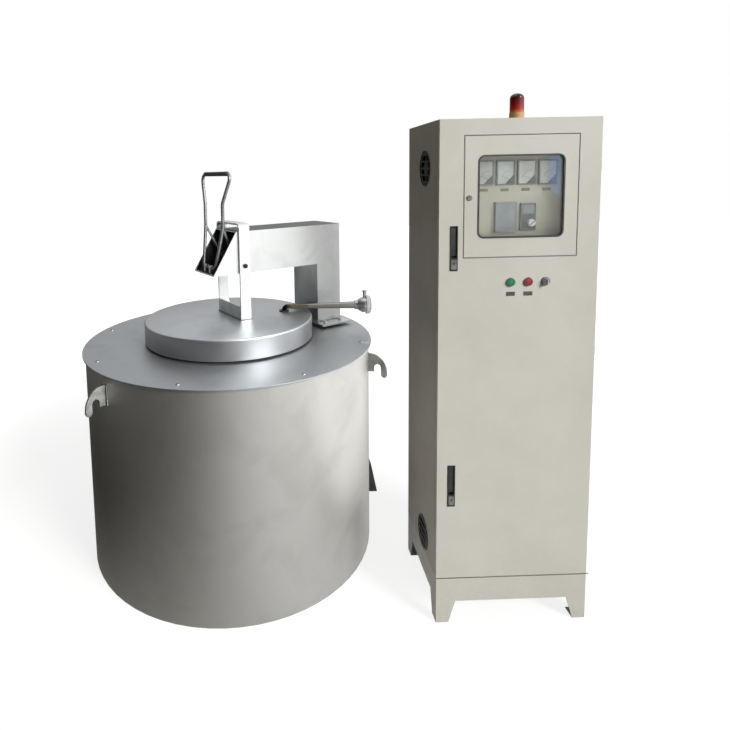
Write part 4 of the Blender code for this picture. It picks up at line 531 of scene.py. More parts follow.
# Turned, drawn, cast and ground metal: small bright lines along their rounds; the blued pin is nearly black
TURNED = PlainMetal("turned steel", "B4B6B8", "8F9194", 0.28)
BLUED = PlainMetal("blued pin steel", "2C2D30", "1C1C1E", 0.40, metal=0.9)
PROBE_STEEL = StainedTube("heat stained tube", "A8A7A3", "9A8B77", 0.34)
PROBE_CAST = PlainMetal("plated terminal head", "CDCFCF", "AEB1B2", 0.28)
ROD = PlainMetal("drawn rod", "9C9E9F", "828486", 0.46)
BEAD = PlainMetal("ground weld bead", "B9BBBB", "8E8F8E", 0.42)
BRONZE = PlainMetal("bearing bronze", "B08A4F", "8C6A38", 0.35)
COPPER = PlainMetal("drawn copper tube", "C87A50", "94543A", 0.32)
SINK = PlainMetal("extruded aluminium", "B9BBBC", "9DA0A2", 0.36)
COLLAR = PlainMetal("dull nickel collar", "8A8C88", "6C6E6A", 0.32)
WORN_NICKEL = PlainMetal("worn nickel lock", "8C8D88", "6E6F6B", 0.40)
LEVER = PlainMetal("satin selector lever", "D2D3D2", "B4B6B5", 0.30)

# Moulded plastic of the controls: clear small colours with a soft gloss
BLACK = Moulded("black plastic", "1D1D1F", "141416", 0.42)
LOCK_BLACK = Moulded("black lock body", "2B2C2C", "1F2020", 0.38)
GREY_CASE = Moulded("grey switchgear plastic", "6E7377", "5F6468", 0.45)
GREEN = Moulded("green plastic cap", "2F8F6A", "247556", 0.35)
RED = Moulded("red plastic cap", "A8414C", "8A303A", 0.35)
PALE = Moulded("pale knob plastic", "F2F2EE", "E4E4E0", 0.30)
CREAM = Moulded("cream plastic base", "D9A87E", "C59468", 0.45)
CAN_LACQUER = Moulded("capacitor can lacquer", "8C9297", "7C8287", 0.40)
DISPLAY = Moulded("display housing plastic", "A3A6A6", "949797", 0.42)
MODULE_CASE = Moulded("controller housing plastic", "8B8E8D", "7A7D7C", 0.42)
FRAME_GREY = Moulded("meter frame plastic", "8C8F8A", "7C7F7A", 0.42)
COVER = Moulded("meter corner cover", "6A6D69", "5A5D59", 0.40)
SCREEN = Moulded("display window", "A2A6A9", "94999C", 0.25, relief=0.02)

# Rubber: flat greys without gloss in grip and seal, and painted shade in door gaps and under the plate's lip
GRIP_RUBBER = Moulded("worn grip rubber", "6C6C6D", "565657", 0.62)
SEAL_RUBBER = Moulded("window seal rubber", "4A4D4A", "3B3D3B", 0.6)
# A brown band at the door's foot: painted shade
DOOR_FOOT_SHADE = Moulded("brown painted shade at the door's foot", "7D7365", "6C6357", 0.6)
# A grey band round the window door: painted shadow in its gap
GAP_SHADE_GREY = Moulded("grey painted gap shade", "7C7D77", "6D6E69", 0.6)

# Card, printed ink, labels, and dark painted shade in holes and inside the beam: even and matt
METER_CARD = Moulded("meter scale card", "D2D6D2", "C6CAC6", 0.5, relief=0.02)
METER_LABEL = Moulded("faded label strip", "8E8977", "7F7A69", 0.5, relief=0.05)
STRIP = Moulded("dark label strip", "5C584A", "4C493D", 0.5, relief=0.05)
# The same dark serves printed marks and the painted shade of keyholes, key slot and screw sockets
INK_AND_HOLE_SHADE = Moulded("printed ink and painted hole shade", "1A1B1C", "101112", 0.5, relief=0.02)
# Dark sheets inside the arm's beam: painted shade
BEAM_SHADE_PAINT = Moulded("dark painted shade inside the beam", "202022", "161617", 0.75)

# Baked powder paint on the cabinet: a warm grey beige, greener on the tray; a darker, browner copy on the
# body is painted shade
PAINT = PowderPaint("beige powder paint", "D9D6CB", "CFCCC0", 0.46)
# The cabinet body's darker, browner copy of the paint is painted shade on its sides
SHADED_BODY_PAINT = PowderPaint("beige powder paint, darker for painted shade", "C8C2B3", "BDB6A6", 0.48)
PANEL_PAINT = PowderPaint("instrument tray paint", "D0CDBC", "C4C1B0", 0.50)

# Float glass and a tinted lens: a pane that hardly shows, and a deep red that glows orange at its foot
GLASS = ClearSheet("window glass", "FBFCFB", "F4F6F5", 0.02)
LENS = TintedDome("red lens", "A01218", "2A0508", 0.10)

# Refractory, graphite and fibre inside the furnace: coarse, dry and matt
FELT = Grainy("gasket fibre", "2E2C2A", "1E1D1C", 0.95, grit=0.003)
FIRECLAY = Grainy("fired refractory", "B79A77", "8D7355", 0.92)
GRAPHITE = Grainy("clay graphite", "3C3C3E", "262628", 0.7, grit=0.004, relief=0.3)
FIBRE = Grainy("ceramic fibre", "DCD8CD", "BDB8AC", 0.95, grit=0.008)


# Placing

def add_object(name: str, data: Any) -> Object:
    """Put a new object in the scene.

    Args:
        name: The object's name.
        data: Its mesh, lamp or camera.

    Returns:
        The object, at the origin.
    """
    made = bpy.data.objects.new(name, data)
    bpy.context.scene.collection.objects.link(made)
    return made


def place_piece(piece: Object, finish: Finish, body: Body) -> None:
    """Finish a piece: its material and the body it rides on.

    Args:
        piece: The piece, at the origin.
        finish: Its finish.
        body: The body that carries it.
    """
    piece.data.materials.clear()
    piece.data.materials.append(finish.material())
    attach(piece, body.value)
    LOG.info("%s: %d faces, %s", piece.name, len(piece.data.polygons), finish.name)


@dataclass(frozen=True)
class Skin:
    """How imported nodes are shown: their finish, and the radius of their broken edges in metres."""

    finish: Finish
    edge: float = 0.0
    smooth: float = 35.0


@dataclass
class Skins:
    """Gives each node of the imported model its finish, and those that show their broken edges.

    A node whose edge is 0 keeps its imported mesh. The others are shown by a copy
    with merged corners, small rounded edges and smooth round faces.
    """

    merge: float = 0.00002
    flat: float = 0.4
    least_break: float = 40.0

    PLAN: ClassVar[dict[str, Skin]] = {
        "furnace_shell": Skin(SHELL, 0.0010),
        "base_plate": Skin(BASE_STEEL, 0.0010),
        "top_plate": Skin(PLATE, 0.0012),
        "throat_ring": Skin(FIRECLAY, 0.0020),
        "lid_gasket": Skin(FELT, 0.0010),
        "crucible": Skin(GRAPHITE, 0.0040),
        "crucible_stand": Skin(FIRECLAY),
        "insulation_jacket": Skin(FIBRE),
        "induction_coil": Skin(COPPER),
        "lifting_hook_a lifting_hook_b lifting_hook_c": Skin(HOOK_STEEL, 0.0015),
        "cable_hood": Skin(DARK_STEEL, 0.0006),
        "swivel_post": Skin(TURNED, 0.0008),
        "arm_housing": Skin(ARM_SKIN, 0.0012),
        "arm_foot_plate": Skin(ARM_SKIN, 0.0010),
        "bearing_tube": Skin(TURNED),
        "swivel_bush": Skin(BRONZE),
        "lid_pan": Skin(LID_SKIN, 0.0010),
        "lid_insulation": Skin(FIBRE),
        "lid_stirrup": Skin(STRAP, 0.0010),
        "cross_pin": Skin(BLUED, 0.0008),
        "probe_gland": Skin(DARK_STEEL, 0.0006),
        "probe_tube": Skin(PROBE_STEEL, 0.0004),
        "probe_head": Skin(PROBE_CAST, 0.0008),
        "lift_handle": Skin(ROD, 0.0003, 50.0),
        "handle_grip": Skin(GRIP_RUBBER, 0.0010),
        # The body's darker paint is painted shade
        "cabinet_body": Skin(SHADED_BODY_PAINT, 0.0007),
        "cabinet_plinth": Skin(PAINT, 0.0010),
        "vent_grille_upper vent_grille_lower": Skin(BLACK, 0.0004),
        "fan_frame fan_rotor": Skin(BLACK),
        "mounting_plate": Skin(ZINC),
        "inverter_module": Skin(SINK),
        "capacitor_bank": Skin(CAN_LACQUER),
        "switchgear_row": Skin(GREY_CASE),
        "beacon_base": Skin(CREAM, 0.0008),
        "beacon_lens": Skin(LENS, 0.0010),
        "main_door": Skin(PAINT, 0.0007),
        "instrument_tray": Skin(PANEL_PAINT, 0.0006),
        "panel_meter_a panel_meter_b panel_meter_c panel_meter_d": Skin(FRAME_GREY, 0.0008),
        "display_module": Skin(DISPLAY, 0.0010),
        "controller_module": Skin(MODULE_CASE, 0.0010),
        "button_station": Skin(COLLAR, 0.0005),
        "lock_dish_upper lock_dish_lower": Skin(LOCK_BLACK, 0.0005),
        "lock_handle_upper lock_handle_lower": Skin(LOCK_BLACK, 0.0006),
        "start_button": Skin(GREEN, 0.0008),
        "stop_button": Skin(RED, 0.0008),
        "selector_switch": Skin(LEVER, 0.0006),
        "controller_knob": Skin(PALE, 0.0008),
        "window_door": Skin(PAINT, 0.0008),
        "window_seal": Skin(SEAL_RUBBER, 0.0006),
        "window_glass": Skin(GLASS),
        "window_keylock": Skin(WORN_NICKEL, 0.0005),
    }

    def apply(self) -> None:
        """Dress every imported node."""
        nodes = frame["nodes"]
        bodies = frame["record"]["behaviour"]["bodies"]
        carriers = {node: body for body, names in bodies.items() for node in names}
        plan = [(name, skin) for names, skin in self.PLAN.items() for name in names.split()]
        missing = set(nodes) ^ {name for name, skin in plan}
        if missing:
            raise ValueError(f"no finish for {sorted(missing)}")
        for name, skin in plan:
            if skin.edge:
                piece = self.soften(name, nodes[name], skin)
                place_piece(piece, skin.finish, Body(carriers[name]))
                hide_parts(name)
                continue
            for place in nodes[name].material_slots:
                place.material = skin.finish.material()
            LOG.info("%s: as packed, %s", name, skin.finish.name)

    def soften(self, name: str, node: Object, skin: Skin) -> Object:
        """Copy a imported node, and break and smooth its edges.

        Args:
            name: The node's name.
            node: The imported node.
            skin: Its skin.

        Returns:
            The copy, at the origin.
        """
        shape = bmesh.new()
        shape.from_mesh(node.data)
        bmesh.ops.remove_doubles(shape, verts=shape.verts, dist=self.merge)
        bmesh.ops.dissolve_limit(shape, angle_limit=math.radians(self.flat), verts=shape.verts,
                                 edges=shape.edges)
        data = bpy.data.meshes.new(name + "_skin")
        shape.to_mesh(data)
        shape.free()
        data.shade_smooth()
        data.set_sharp_from_angle(angle=math.radians(skin.smooth))
        source = add_object(name + "_source", data)
        bevel = source.modifiers.new("edge", "BEVEL")
        bevel.width = skin.edge
        bevel.segments = 2
        bevel.limit_method = "ANGLE"
        bevel.angle_limit = math.radians(max(skin.smooth, self.least_break))
        bevel.use_clamp_overlap = True
        bevel.harden_normals = True
        seen = source.evaluated_get(bpy.context.evaluated_depsgraph_get())
        finished = bpy.data.meshes.new_from_object(seen)
        bpy.data.objects.remove(source)
        return add_object(name + "_skin", finished)


# Mesh helpers

class Mould:
    """A bmesh with the few shapes that this object's small pieces are made of.

    An edge that turns by more than SHARP stays crisp, or is broken where a piece asks for it.
    """

    SHARP = math.radians(35)

    def __init__(self) -> None:
        """Start empty."""
        self.mesh = bmesh.new()

    def ring(self, points: Outline, height: float, matrix: Matrix) -> list[bmesh.types.BMVert]:
        """Add the points of an outline at a height, and give back their vertices."""
        return [self.mesh.verts.new(matrix @ Vector((x, y, height))) for x, y in points]

    def wall(self, first: list[bmesh.types.BMVert], second: list[bmesh.types.BMVert]) -> None:
        """Join two rings with faces.

        Args:
            first: Vertices of one ring, or the one vertex that it closes to.
            second: The same of the other.
        """
        steps = max(len(first), len(second))
        for step in range(steps):
            after = (step + 1) % steps
            corners = [first[step % len(first)], first[after % len(first)],
                       second[after % len(second)], second[step % len(second)]]
            unique = list(dict.fromkeys(corners))
            if len(unique) > 2:
                self.mesh.faces.new(unique)

    def prism(self, outline: Outline, low: float, high: float, matrix: Matrix = ORIGIN) -> "Mould":
        """Add an outline in the XY plane, drawn out along Z.

        Args:
            outline: Points of the outline, counter-clockwise.
            low: Start height.
            high: End height.
            matrix: Where the prism goes.

        Returns:
            The mould itself.
        """
        floor, roof = (self.ring(outline, height, matrix) for height in (low, high))
        self.mesh.faces.new(floor[::-1])
        self.mesh.faces.new(roof)
        self.wall(floor, roof)
        return self

    def frame(self, outer: Outline, inner: Outline, low: float, high: float, matrix: Matrix) -> "Mould":
        """Add the frame between two outlines with as many points, drawn out along Z.

        Args:
            outer: Points of the outer outline, counter-clockwise.
            inner: Points of the inner one.
            low: Start height.
            high: End height.
            matrix: Where the frame goes.

        Returns:
            The mould itself.
        """
        loops = [self.ring(outline, height, matrix)
                 for outline, height in ((outer, low), (outer, high), (inner, high), (inner, low))]
        for first, second in zip(loops, loops[1:] + loops[:1]):
            self.wall(first, second)
        return self

    def lathe(self, profile: Outline, steps: int, matrix: Matrix = ORIGIN) -> "Mould":
        """Turn a profile about Z.

        Args:
            profile: Radius and height of each point; a radius of 0 closes that end.
            steps: Facets round the axis.
            matrix: Where the turned shape goes.

        Returns:
            The mould itself.
        """
        turns = [math.tau * step / steps for step in range(steps)]
        rings = [self.ring([(radius * math.cos(turn), radius * math.sin(turn)) for turn in turns]
                           if radius else [(0.0, 0.0)], height, matrix) for radius, height in profile]
        closed = len(rings[0]) > 1 and len(rings[-1]) > 1
        for first, second in zip(rings, rings[1:] + (rings[:1] if closed else [])):
            self.wall(first, second)
        return self

    def piece(self, name: str, finish: Finish, body: Body, slot: str, bevel: float = 0.0) -> None:
        """Turn the mould to a placed piece, with its edges broken where asked.

        Args:
            name: The piece's name.
            finish: Its finish.
            body: The body that carries it.
            slot: The record's material slot; not used.
            bevel: Width of the broken edges, 0 for none.
        """
        if bevel:
            sharp = [edge for edge in self.mesh.edges
                     if edge.is_manifold and edge.calc_face_angle(0) > self.SHARP]
            bmesh.ops.bevel(self.mesh, geom=sharp, offset=bevel, segments=2, profile=0.5, affect="EDGES",
                            clamp_overlap=True)
        bmesh.ops.recalc_face_normals(self.mesh, faces=self.mesh.faces)
        data = bpy.data.meshes.new(name)
        self.mesh.to_mesh(data)
        self.mesh.free()
        data.shade_smooth()
        data.set_sharp_from_angle(angle=self.SHARP)
        place_piece(add_object(name, data), finish, body)


class Pattern:
    """A Geometry Nodes tree with named inputs, whose result turns to a plain mesh."""

    def __init__(self, name: str, finish: Finish, inputs: dict[str, str]) -> None:
        """Start the tree.

        Args:
            name: The tree's name.
            finish: The finish that the tree sets on what it makes.
            inputs: Title and kind of each of its inputs.
        """
        self.finish = finish
        self.tree = bpy.data.node_groups.new(name, "GeometryNodeTree")
        face = self.tree.interface
        face.new_socket("Geometry", in_out="OUTPUT", socket_type="NodeSocketGeometry")
        self.sockets: dict[str, str] = {}
        for title, kind in inputs.items():
            socket = face.new_socket(title, in_out="INPUT", socket_type="NodeSocket" + kind)
            self.sockets[title] = socket.identifier
        self.add = partial(add_node, self.tree)
        self.given = self.add("NodeGroupInput").outputs

    def close(self, feeds: Feeds) -> None:
        """End the tree: copies on their points, made real and painted.

        Args:
            feeds: Points, Instance, and Rotation or Scale where they are used.
        """
        copies = self.add("GeometryNodeInstanceOnPoints", feeds)
        real = self.add("GeometryNodeRealizeInstances", {"Geometry": copies})
        painted = self.add("GeometryNodeSetMaterial", {"Geometry": real, "Material": self.finish.material()})
        self.add("NodeGroupOutput", {0: painted})

    def run(self, name: str, matrix: Matrix, body: Body, slot: str, source: Mesh | None = None,
            smooth: bool = False, **values: Any) -> None:
        """Run the tree once, and place the result as a plain mesh.

        Args:
            name: The piece's name.
            matrix: Where the result goes.
            body: The body that carries it.
            slot: The record's material slot; not used.
            source: The mesh that the tree starts from, an empty one where none is given.
            smooth: Whether its faces shade smooth.
            values: The tree's inputs by title.
        """
        holder = add_object(name + "_source", source or bpy.data.meshes.new(name + "_source"))
        modifier = holder.modifiers.new("tree", "NODES")
        modifier.node_group = self.tree
        for title, value in values.items():
            modifier[self.sockets[title]] = value
        data = bpy.data.meshes.new_from_object(holder.evaluated_get(bpy.context.evaluated_depsgraph_get()))
        bpy.data.objects.remove(holder)
        data.transform(matrix)
        data.name = name
        if smooth:
            data.shade_smooth()
        place_piece(add_object(name, data), self.finish, body)


class Layout(Enum):
    """How a repeat lies."""

    ARC = "arc"
    LINE = "line"


class Block(Enum):
    """What a repeat repeats: bars, or prisms with this many sides."""

    BAR = 4
    HEX = 6


class Repeat(Pattern):
    """Repeats a block along an arc or a line.

    On an arc the blocks point outwards from its middle, and a line runs along X.
    Both lie in the XY plane. Bars have a length, width and height; hexagons have
    a width and a height.
    """

    def __init__(self, name: str, finish: Finish, layout: Layout, block: Block) -> None:
        """Build the tree.

        Args:
            name: The tree's name.
            finish: The finish that the tree sets on its blocks.
            layout: How the blocks lie.
            block: Their shape.
        """
        super().__init__(name, finish, {
            "Count": "Int", "Radius": "Float", "Start": "Float", "Sweep": "Float", "Pitch": "Vector",
            "Size": "Vector"})
        add, given = self.add, self.given
        if layout is Layout.ARC:
            arc = add("GeometryNodeCurveArc", {
                "Resolution": given["Count"], "Radius": given["Radius"], "Start Angle": given["Start"],
                "Sweep Angle": given["Sweep"]})
            spot = add("GeometryNodeInputPosition")
            turned = add("FunctionNodeAlignEulerToVector", {"Vector": spot}, axis="X")
            feeds = {"Points": arc, "Rotation": turned}
        else:
            line = add("GeometryNodeMeshLine", {"Count": given["Count"], "Offset": given["Pitch"]})
            feeds = {"Points": line}
        if block is Block.BAR:
            shape = add("GeometryNodeMeshCube", {"Size": given["Size"]})
        else:
            parts = add(SPLIT, {"Vector": given["Size"]}).outputs
            half = add(MATH, {0: parts["X"], 1: 0.5}, operation="MULTIPLY")
            shape = add("GeometryNodeMeshCylinder", {"Vertices": block.value, "Radius": half,
                                                     "Depth": parts["Z"]})
        self.close({**feeds, "Instance": shape})


class Bead(Pattern):
    """Lays a weld bead along some paths, as ripples a few millimetres apart.

    Each ripple is a ball, squashed along the bead. SPACING is their distance in radii.
    """

    SEGMENTS = 8
    RINGS = 5
    SQUASH = (0.7, 1.0, 1.0)
    SPACING = 0.9

    def __init__(self, name: str, finish: Finish) -> None:
        """Build the tree.

        Args:
            name: The tree's name.
            finish: The finish of the bead.
        """
        super().__init__(name, finish, {"Geometry": "Geometry", "Pitch": "Float", "Radius": "Float"})
        add, given = self.add, self.given
        curve = add("GeometryNodeMeshToCurve", {"Mesh": given["Geometry"]})
        spaced = add("GeometryNodeResampleCurve", {"Curve": curve, "Length": given["Pitch"]}, mode="LENGTH")
        ahead = add("GeometryNodeInputTangent")
        turned = add("FunctionNodeAlignEulerToVector", {"Vector": ahead}, axis="X")
        ripple = add("GeometryNodeMeshUVSphere", {"Segments": self.SEGMENTS, "Rings": self.RINGS,
                                                  "Radius": given["Radius"]})
        self.close({"Points": spaced, "Instance": ripple, "Rotation": turned, "Scale": self.SQUASH})

    def make(self, name: str, paths: Sequence[Outline], radius: float, body: Body, slot: str) -> None:
        """Lay the bead along some paths.

        Args:
            name: The piece's name.
            paths: Each path's points, in world metres.
            radius: The bead's radius.
            body: The body that carries it.
            slot: The record's material slot.
        """
        points = [tuple(point) for path in paths for point in path]
        ends = {sum(map(len, paths[:count + 1])) - 1 for count in range(len(paths))}
        edges = [(place, place + 1) for place in range(len(points)) if place not in ends]
        source = bpy.data.meshes.new(name + "_source")
        source.from_pydata(points, edges, [])
        self.run(name, ORIGIN, body, slot, source, True, Pitch=radius * self.SPACING, Radius=radius)


def facing_front(x: float, y: float, z: float) -> Matrix:
    """The place of a flat piece that faces the front: its XY plane stands up, its Z points to -Y."""
    return Matrix.Translation((x, y, z)) @ Matrix.Rotation(math.radians(90), 4, "X")


def about_z(angle: float) -> Matrix:
    """A turn about Z by an angle in degrees."""
    return Matrix.Rotation(math.radians(angle), 4, "Z")


def rectangle(left: float, low: float, right: float, high: float) -> Outline:
    """The corners of a rectangle, counter-clockwise."""
    return ((left, low), (right, low), (right, high), (left, high))


def centred(wide: float, high: float) -> Outline:
    """The corners of a rectangle round the origin, counter-clockwise."""
    return rectangle(-wide / 2, -high / 2, wide / 2, high / 2)


def front_of(node: str) -> Vector:
    """The middle of a node's front, in world metres."""
    low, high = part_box(node)
    return Vector(((low.x + high.x) / 2, low.y, (low.z + high.z) / 2))


# What the solids leave out

@dataclass
class Instruments:
    """Meter cards, displays and labels behind the window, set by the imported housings.

    The notch, hub, cover_reach and split are shares of a face's half width and half height.
    Depths are measured outwards from the face or its recess, and turns are in degrees.
    """

    rim: float = 0.005
    recess: float = 0.003
    card: float = 0.0006
    tick_count: int = 11
    tick: Triple = (0.004, 0.0008, 0.0004)
    tick_radius: float = 0.030
    scale_start: float = 92.0
    scale_sweep: float = 76.0
    needle: Pair = (0.0005, 0.0002)
    needle_depth: Pair = (0.0003, 0.0007)
    needle_turn: float = 66.0
    notch: float = 0.25
    hub: Pair = (0.55, -0.62)
    cover: float = 0.0016
    cover_reach: Pair = (-0.06, -0.19)
    cover_edge: float = 0.0004
    label: Pair = (0.029, 0.010)
    label_drop: float = 0.0165
    proud: float = 0.0009
    stand: float = 0.010
    screen_rim: float = 0.004
    screen_recess: float = 0.0015
    edge: float = 0.0002
    plate_inset: float = 0.003
    plate_depth: float = 0.0005
    key_row: Triple = (-0.018, 0.0008, 0.012)
    key_count: int = 4
    key_pitch: float = 0.012
    key: Triple = (0.008, 0.005, 0.0008)
    pane_inset: float = 0.004
    pane_depth: float = 0.0007
    pane_edge: float = 0.0003
    lower_inset: float = 0.001
    lower_depth: float = 0.0004
    split: Pair = (0.20, 0.28)
    mark: Pair = (0.0022, 0.020)
    mark_turn: float = -48.0

    def face(self, node: str, rim: float) -> tuple[Vector, float, float]:
        """Where a housing's front is.

        Args:
            node: The housing's node.
            rim: Width of the rim round its face.

        Returns:
            The middle of its front, and the half width and half height inside its rim.
        """
        low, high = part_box(node)
        return front_of(node), (high.x - low.x) / 2 - rim, (high.z - low.z) / 2 - rim

    def meters(self) -> None:
        """Build each meter's card, scale, needle, corner cover and label."""
        ticks = Repeat("meter scale", INK_AND_HOLE_SHADE, Layout.ARC, Block.BAR)
        slot = "meter_face"
        for letter in "abcd":
            middle, half, rise = self.face("panel_meter_" + letter, self.rim)
            spot = facing_front(middle.x, middle.y + self.recess - SEAT, middle.z)
            window = ((-half, -rise), (0, -rise), (half, -rise * self.notch), (half, rise), (-half, rise))
            Mould().prism(window, 0, self.card, spot).piece(
                "meter_card_" + letter, METER_CARD, Body.DOOR, slot)
            hub = spot @ Matrix.Translation((half * self.hub[0], rise * self.hub[1], self.card))
            ticks.run("meter_scale_" + letter, hub, Body.DOOR, slot, Count=self.tick_count,
                      Radius=self.tick_radius, Start=math.radians(self.scale_start),
                      Sweep=math.radians(self.scale_sweep), Size=self.tick)
            root, tip = self.needle
            needle = ((-root, 0), (root, 0), (tip, self.tick_radius), (-tip, self.tick_radius))
            Mould().prism(needle, *self.needle_depth, hub @ about_z(self.needle_turn)).piece(
                "meter_needle_" + letter, INK_AND_HOLE_SHADE, Body.DOOR, slot)
            inner, upper = self.cover_reach
            corner = ((half * inner, -rise), (half, -rise), (half, rise * upper))
            Mould().prism(corner, SEAT, self.cover, facing_front(*middle)).piece(
                "meter_cover_" + letter, COVER, Body.DOOR, slot, self.cover_edge)
            below = middle + Vector((0, self.stand, -rise - self.rim - self.label_drop))
            Mould().prism(centred(*self.label), SEAT, self.proud, facing_front(*below)).piece(
                "meter_label_" + letter, METER_LABEL, Body.DOOR, slot, self.edge)

    def screens(self) -> None:
        """Build the display's plate with its keys, and the controller's window, plate and knob mark."""
        middle, half, rise = self.face("display_module", self.screen_rim)
        floor = middle.y + self.screen_recess - SEAT
        slot = SLOTS["display_module"]
        inset = self.plate_inset
        plate = rectangle(-half + inset, -rise + inset, half - inset, rise - inset)
        Mould().prism(plate, 0, self.plate_depth, facing_front(middle.x, floor, middle.z)).piece(
            "display_plate", SCREEN, Body.DOOR, slot, self.edge)
        aside, proud, above = self.key_row
        row = facing_front(middle.x + aside, floor - proud, middle.z - rise + above)
        Repeat("display keys", MODULE_CASE, Layout.LINE, Block.BAR).run(
            "display_keys", row, Body.DOOR, slot, Count=self.key_count, Pitch=(self.key_pitch, 0, 0),
            Size=self.key)
        middle, half, rise = self.face("controller_module", self.screen_rim)
        spot = facing_front(middle.x, middle.y + self.screen_recess - SEAT, middle.z)
        slot = SLOTS["controller_module"]
        below, above = self.split
        inset = self.pane_inset
        pane = rectangle(-half + inset, rise * above, half - inset, rise - inset)
        Mould().prism(pane, 0, self.pane_depth, spot).piece(
            "controller_window", SCREEN, Body.DOOR, slot, self.pane_edge)
        inset = self.lower_inset
        plate = rectangle(-half + inset, -rise + inset, half - inset, rise * below)
        Mould().prism(plate, 0, self.lower_depth, spot).piece(
            "controller_plate", COVER, Body.DOOR, slot, self.edge)
        turned = facing_front(*front_of("controller_knob")) @ about_z(self.mark_turn)
        Mould().prism(centred(*self.mark), SEAT, self.proud, turned).piece(
            "knob_mark", COVER, Body.KNOB, SLOTS["controller_knob"], self.edge)


@dataclass
class DoorTrim:
    """What sits on the cabinet door: button rims and labels, lock plates, and painted shade round the window
    door, along the door's foot and in the key slot.

    Three sizes in a row are width, height and thickness. For the rim they are its two radii and
    thickness, for the two bands of painted shade their near edge, far edge and thickness.
    """

    rim: Triple = (0.0098, 0.0136, 0.0012)
    rim_slope: float = 0.0008
    rim_steps: int = 40
    label: Triple = (0.030, 0.014, 0.0010)
    label_drop: float = 0.041
    label_edge: float = 0.0003
    gap_shade: Triple = (0.0016, 0.0034, 0.0007)
    foot_shade: Triple = (0.0004, 0.0036, 0.0008)
    foot_inset: float = 0.002
    foot_edge: float = 0.0002
    plate: Triple = (0.019, 0.033, 0.0012)
    plate_rise: float = 0.0225
    plate_edge: float = 0.0005
    keyhole: Pair = (0.002, 0.008)
    keyhole_radius: float = 0.0028
    keyhole_rise: float = 0.004
    keyhole_depth: Pair = (0.0014, 0.0015)
    keyhole_steps: int = 16
    key_slot: Triple = (0.0016, 0.010, 0.0005)

    def buttons(self) -> None:
        """Ring the two push buttons in their colour, and fix a blank label under each."""
        collar = front_of("button_station").y
        door = front_of("main_door").y
        near, far, thick = self.rim
        profile = ((near, SEAT), (far, SEAT), (far, thick / 2), (far - self.rim_slope, thick), (near, thick))
        wide, high, deep = self.label
        for node, finish in (("start_button", GREEN), ("stop_button", RED)):
            spot = front_of(node)
            Mould().lathe(profile, self.rim_steps, facing_front(spot.x, collar, spot.z)).piece(
                node + "_rim", finish, Body.DOOR, SLOTS[node])
            below = facing_front(spot.x, door, spot.z - self.label_drop)
            Mould().prism(centred(wide, high), SEAT, deep, below).piece(
                node + "_label", STRIP, Body.DOOR, SLOTS["selector_switch"], self.label_edge)

    def locks(self) -> None:
        """Fix the worn push plate, with its keyhole drawn dark as painted shade, in the lower part of both
        lock bodies.
        """
        wide, high, deep = self.plate
        radius = self.keyhole_radius
        for name in ("upper", "lower"):
            low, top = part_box("lock_dish_" + name)
            spot = facing_front((low.x + top.x) / 2, low.y, low.z + self.plate_rise)
            slot = SLOTS["lock_dish_" + name]
            Mould().prism(centred(wide, high), SEAT, deep, spot).piece(
                "lock_plate_" + name, WORN_NICKEL, Body.DOOR, slot, self.plate_edge)
            slit, end = self.keyhole_depth
            disc = ((0, deep), (radius, deep), (radius, end), (0, end))
            above = spot @ Matrix.Translation((0, self.keyhole_rise, 0))
            # The dark keyhole is painted shade of the hole
            Mould().prism(centred(*self.keyhole), deep, slit, spot).lathe(
                disc, self.keyhole_steps, above).piece("lock_keyhole_" + name, INK_AND_HOLE_SHADE, Body.DOOR, slot)

    def window(self) -> None:
        """Lay bands of painted shade round the window door's opening and along the door's foot, and a dark
        key slot of painted shade.
        """
        low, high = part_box("window_door")
        near, far, deep = self.gap_shade
        outer, inner = (rectangle(low.x - grow, low.z - grow, high.x + grow, high.z + grow)
                        for grow in (far, near))
        # A grey band round the window door: painted shadow in its gap
        Mould().frame(outer, inner, SEAT, deep, facing_front(0, front_of("main_door").y, 0)).piece(
            "window_gap_shade", GAP_SHADE_GREY, Body.DOOR, SLOTS["window_seal"])
        low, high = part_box("main_door")
        foot, head, deep = self.foot_shade
        strip = rectangle(low.x + self.foot_inset, low.z + foot, high.x - self.foot_inset, low.z + head)
        # A brown band along the door's foot: painted shade where the door meets the plinth
        Mould().prism(strip, SEAT, deep, facing_front(0, low.y, 0)).piece(
            "door_foot_shade", DOOR_FOOT_SHADE, Body.DOOR, SLOTS["window_seal"], self.foot_edge)
        wide, high, deep = self.key_slot
        # The dark key slot is painted shade of the slot
        Mould().prism(centred(wide, high), SEAT, deep, facing_front(*front_of("window_keylock"))).piece(
            "key_slot", INK_AND_HOLE_SHADE, Body.KEYLOCK, SLOTS["window_keylock"])


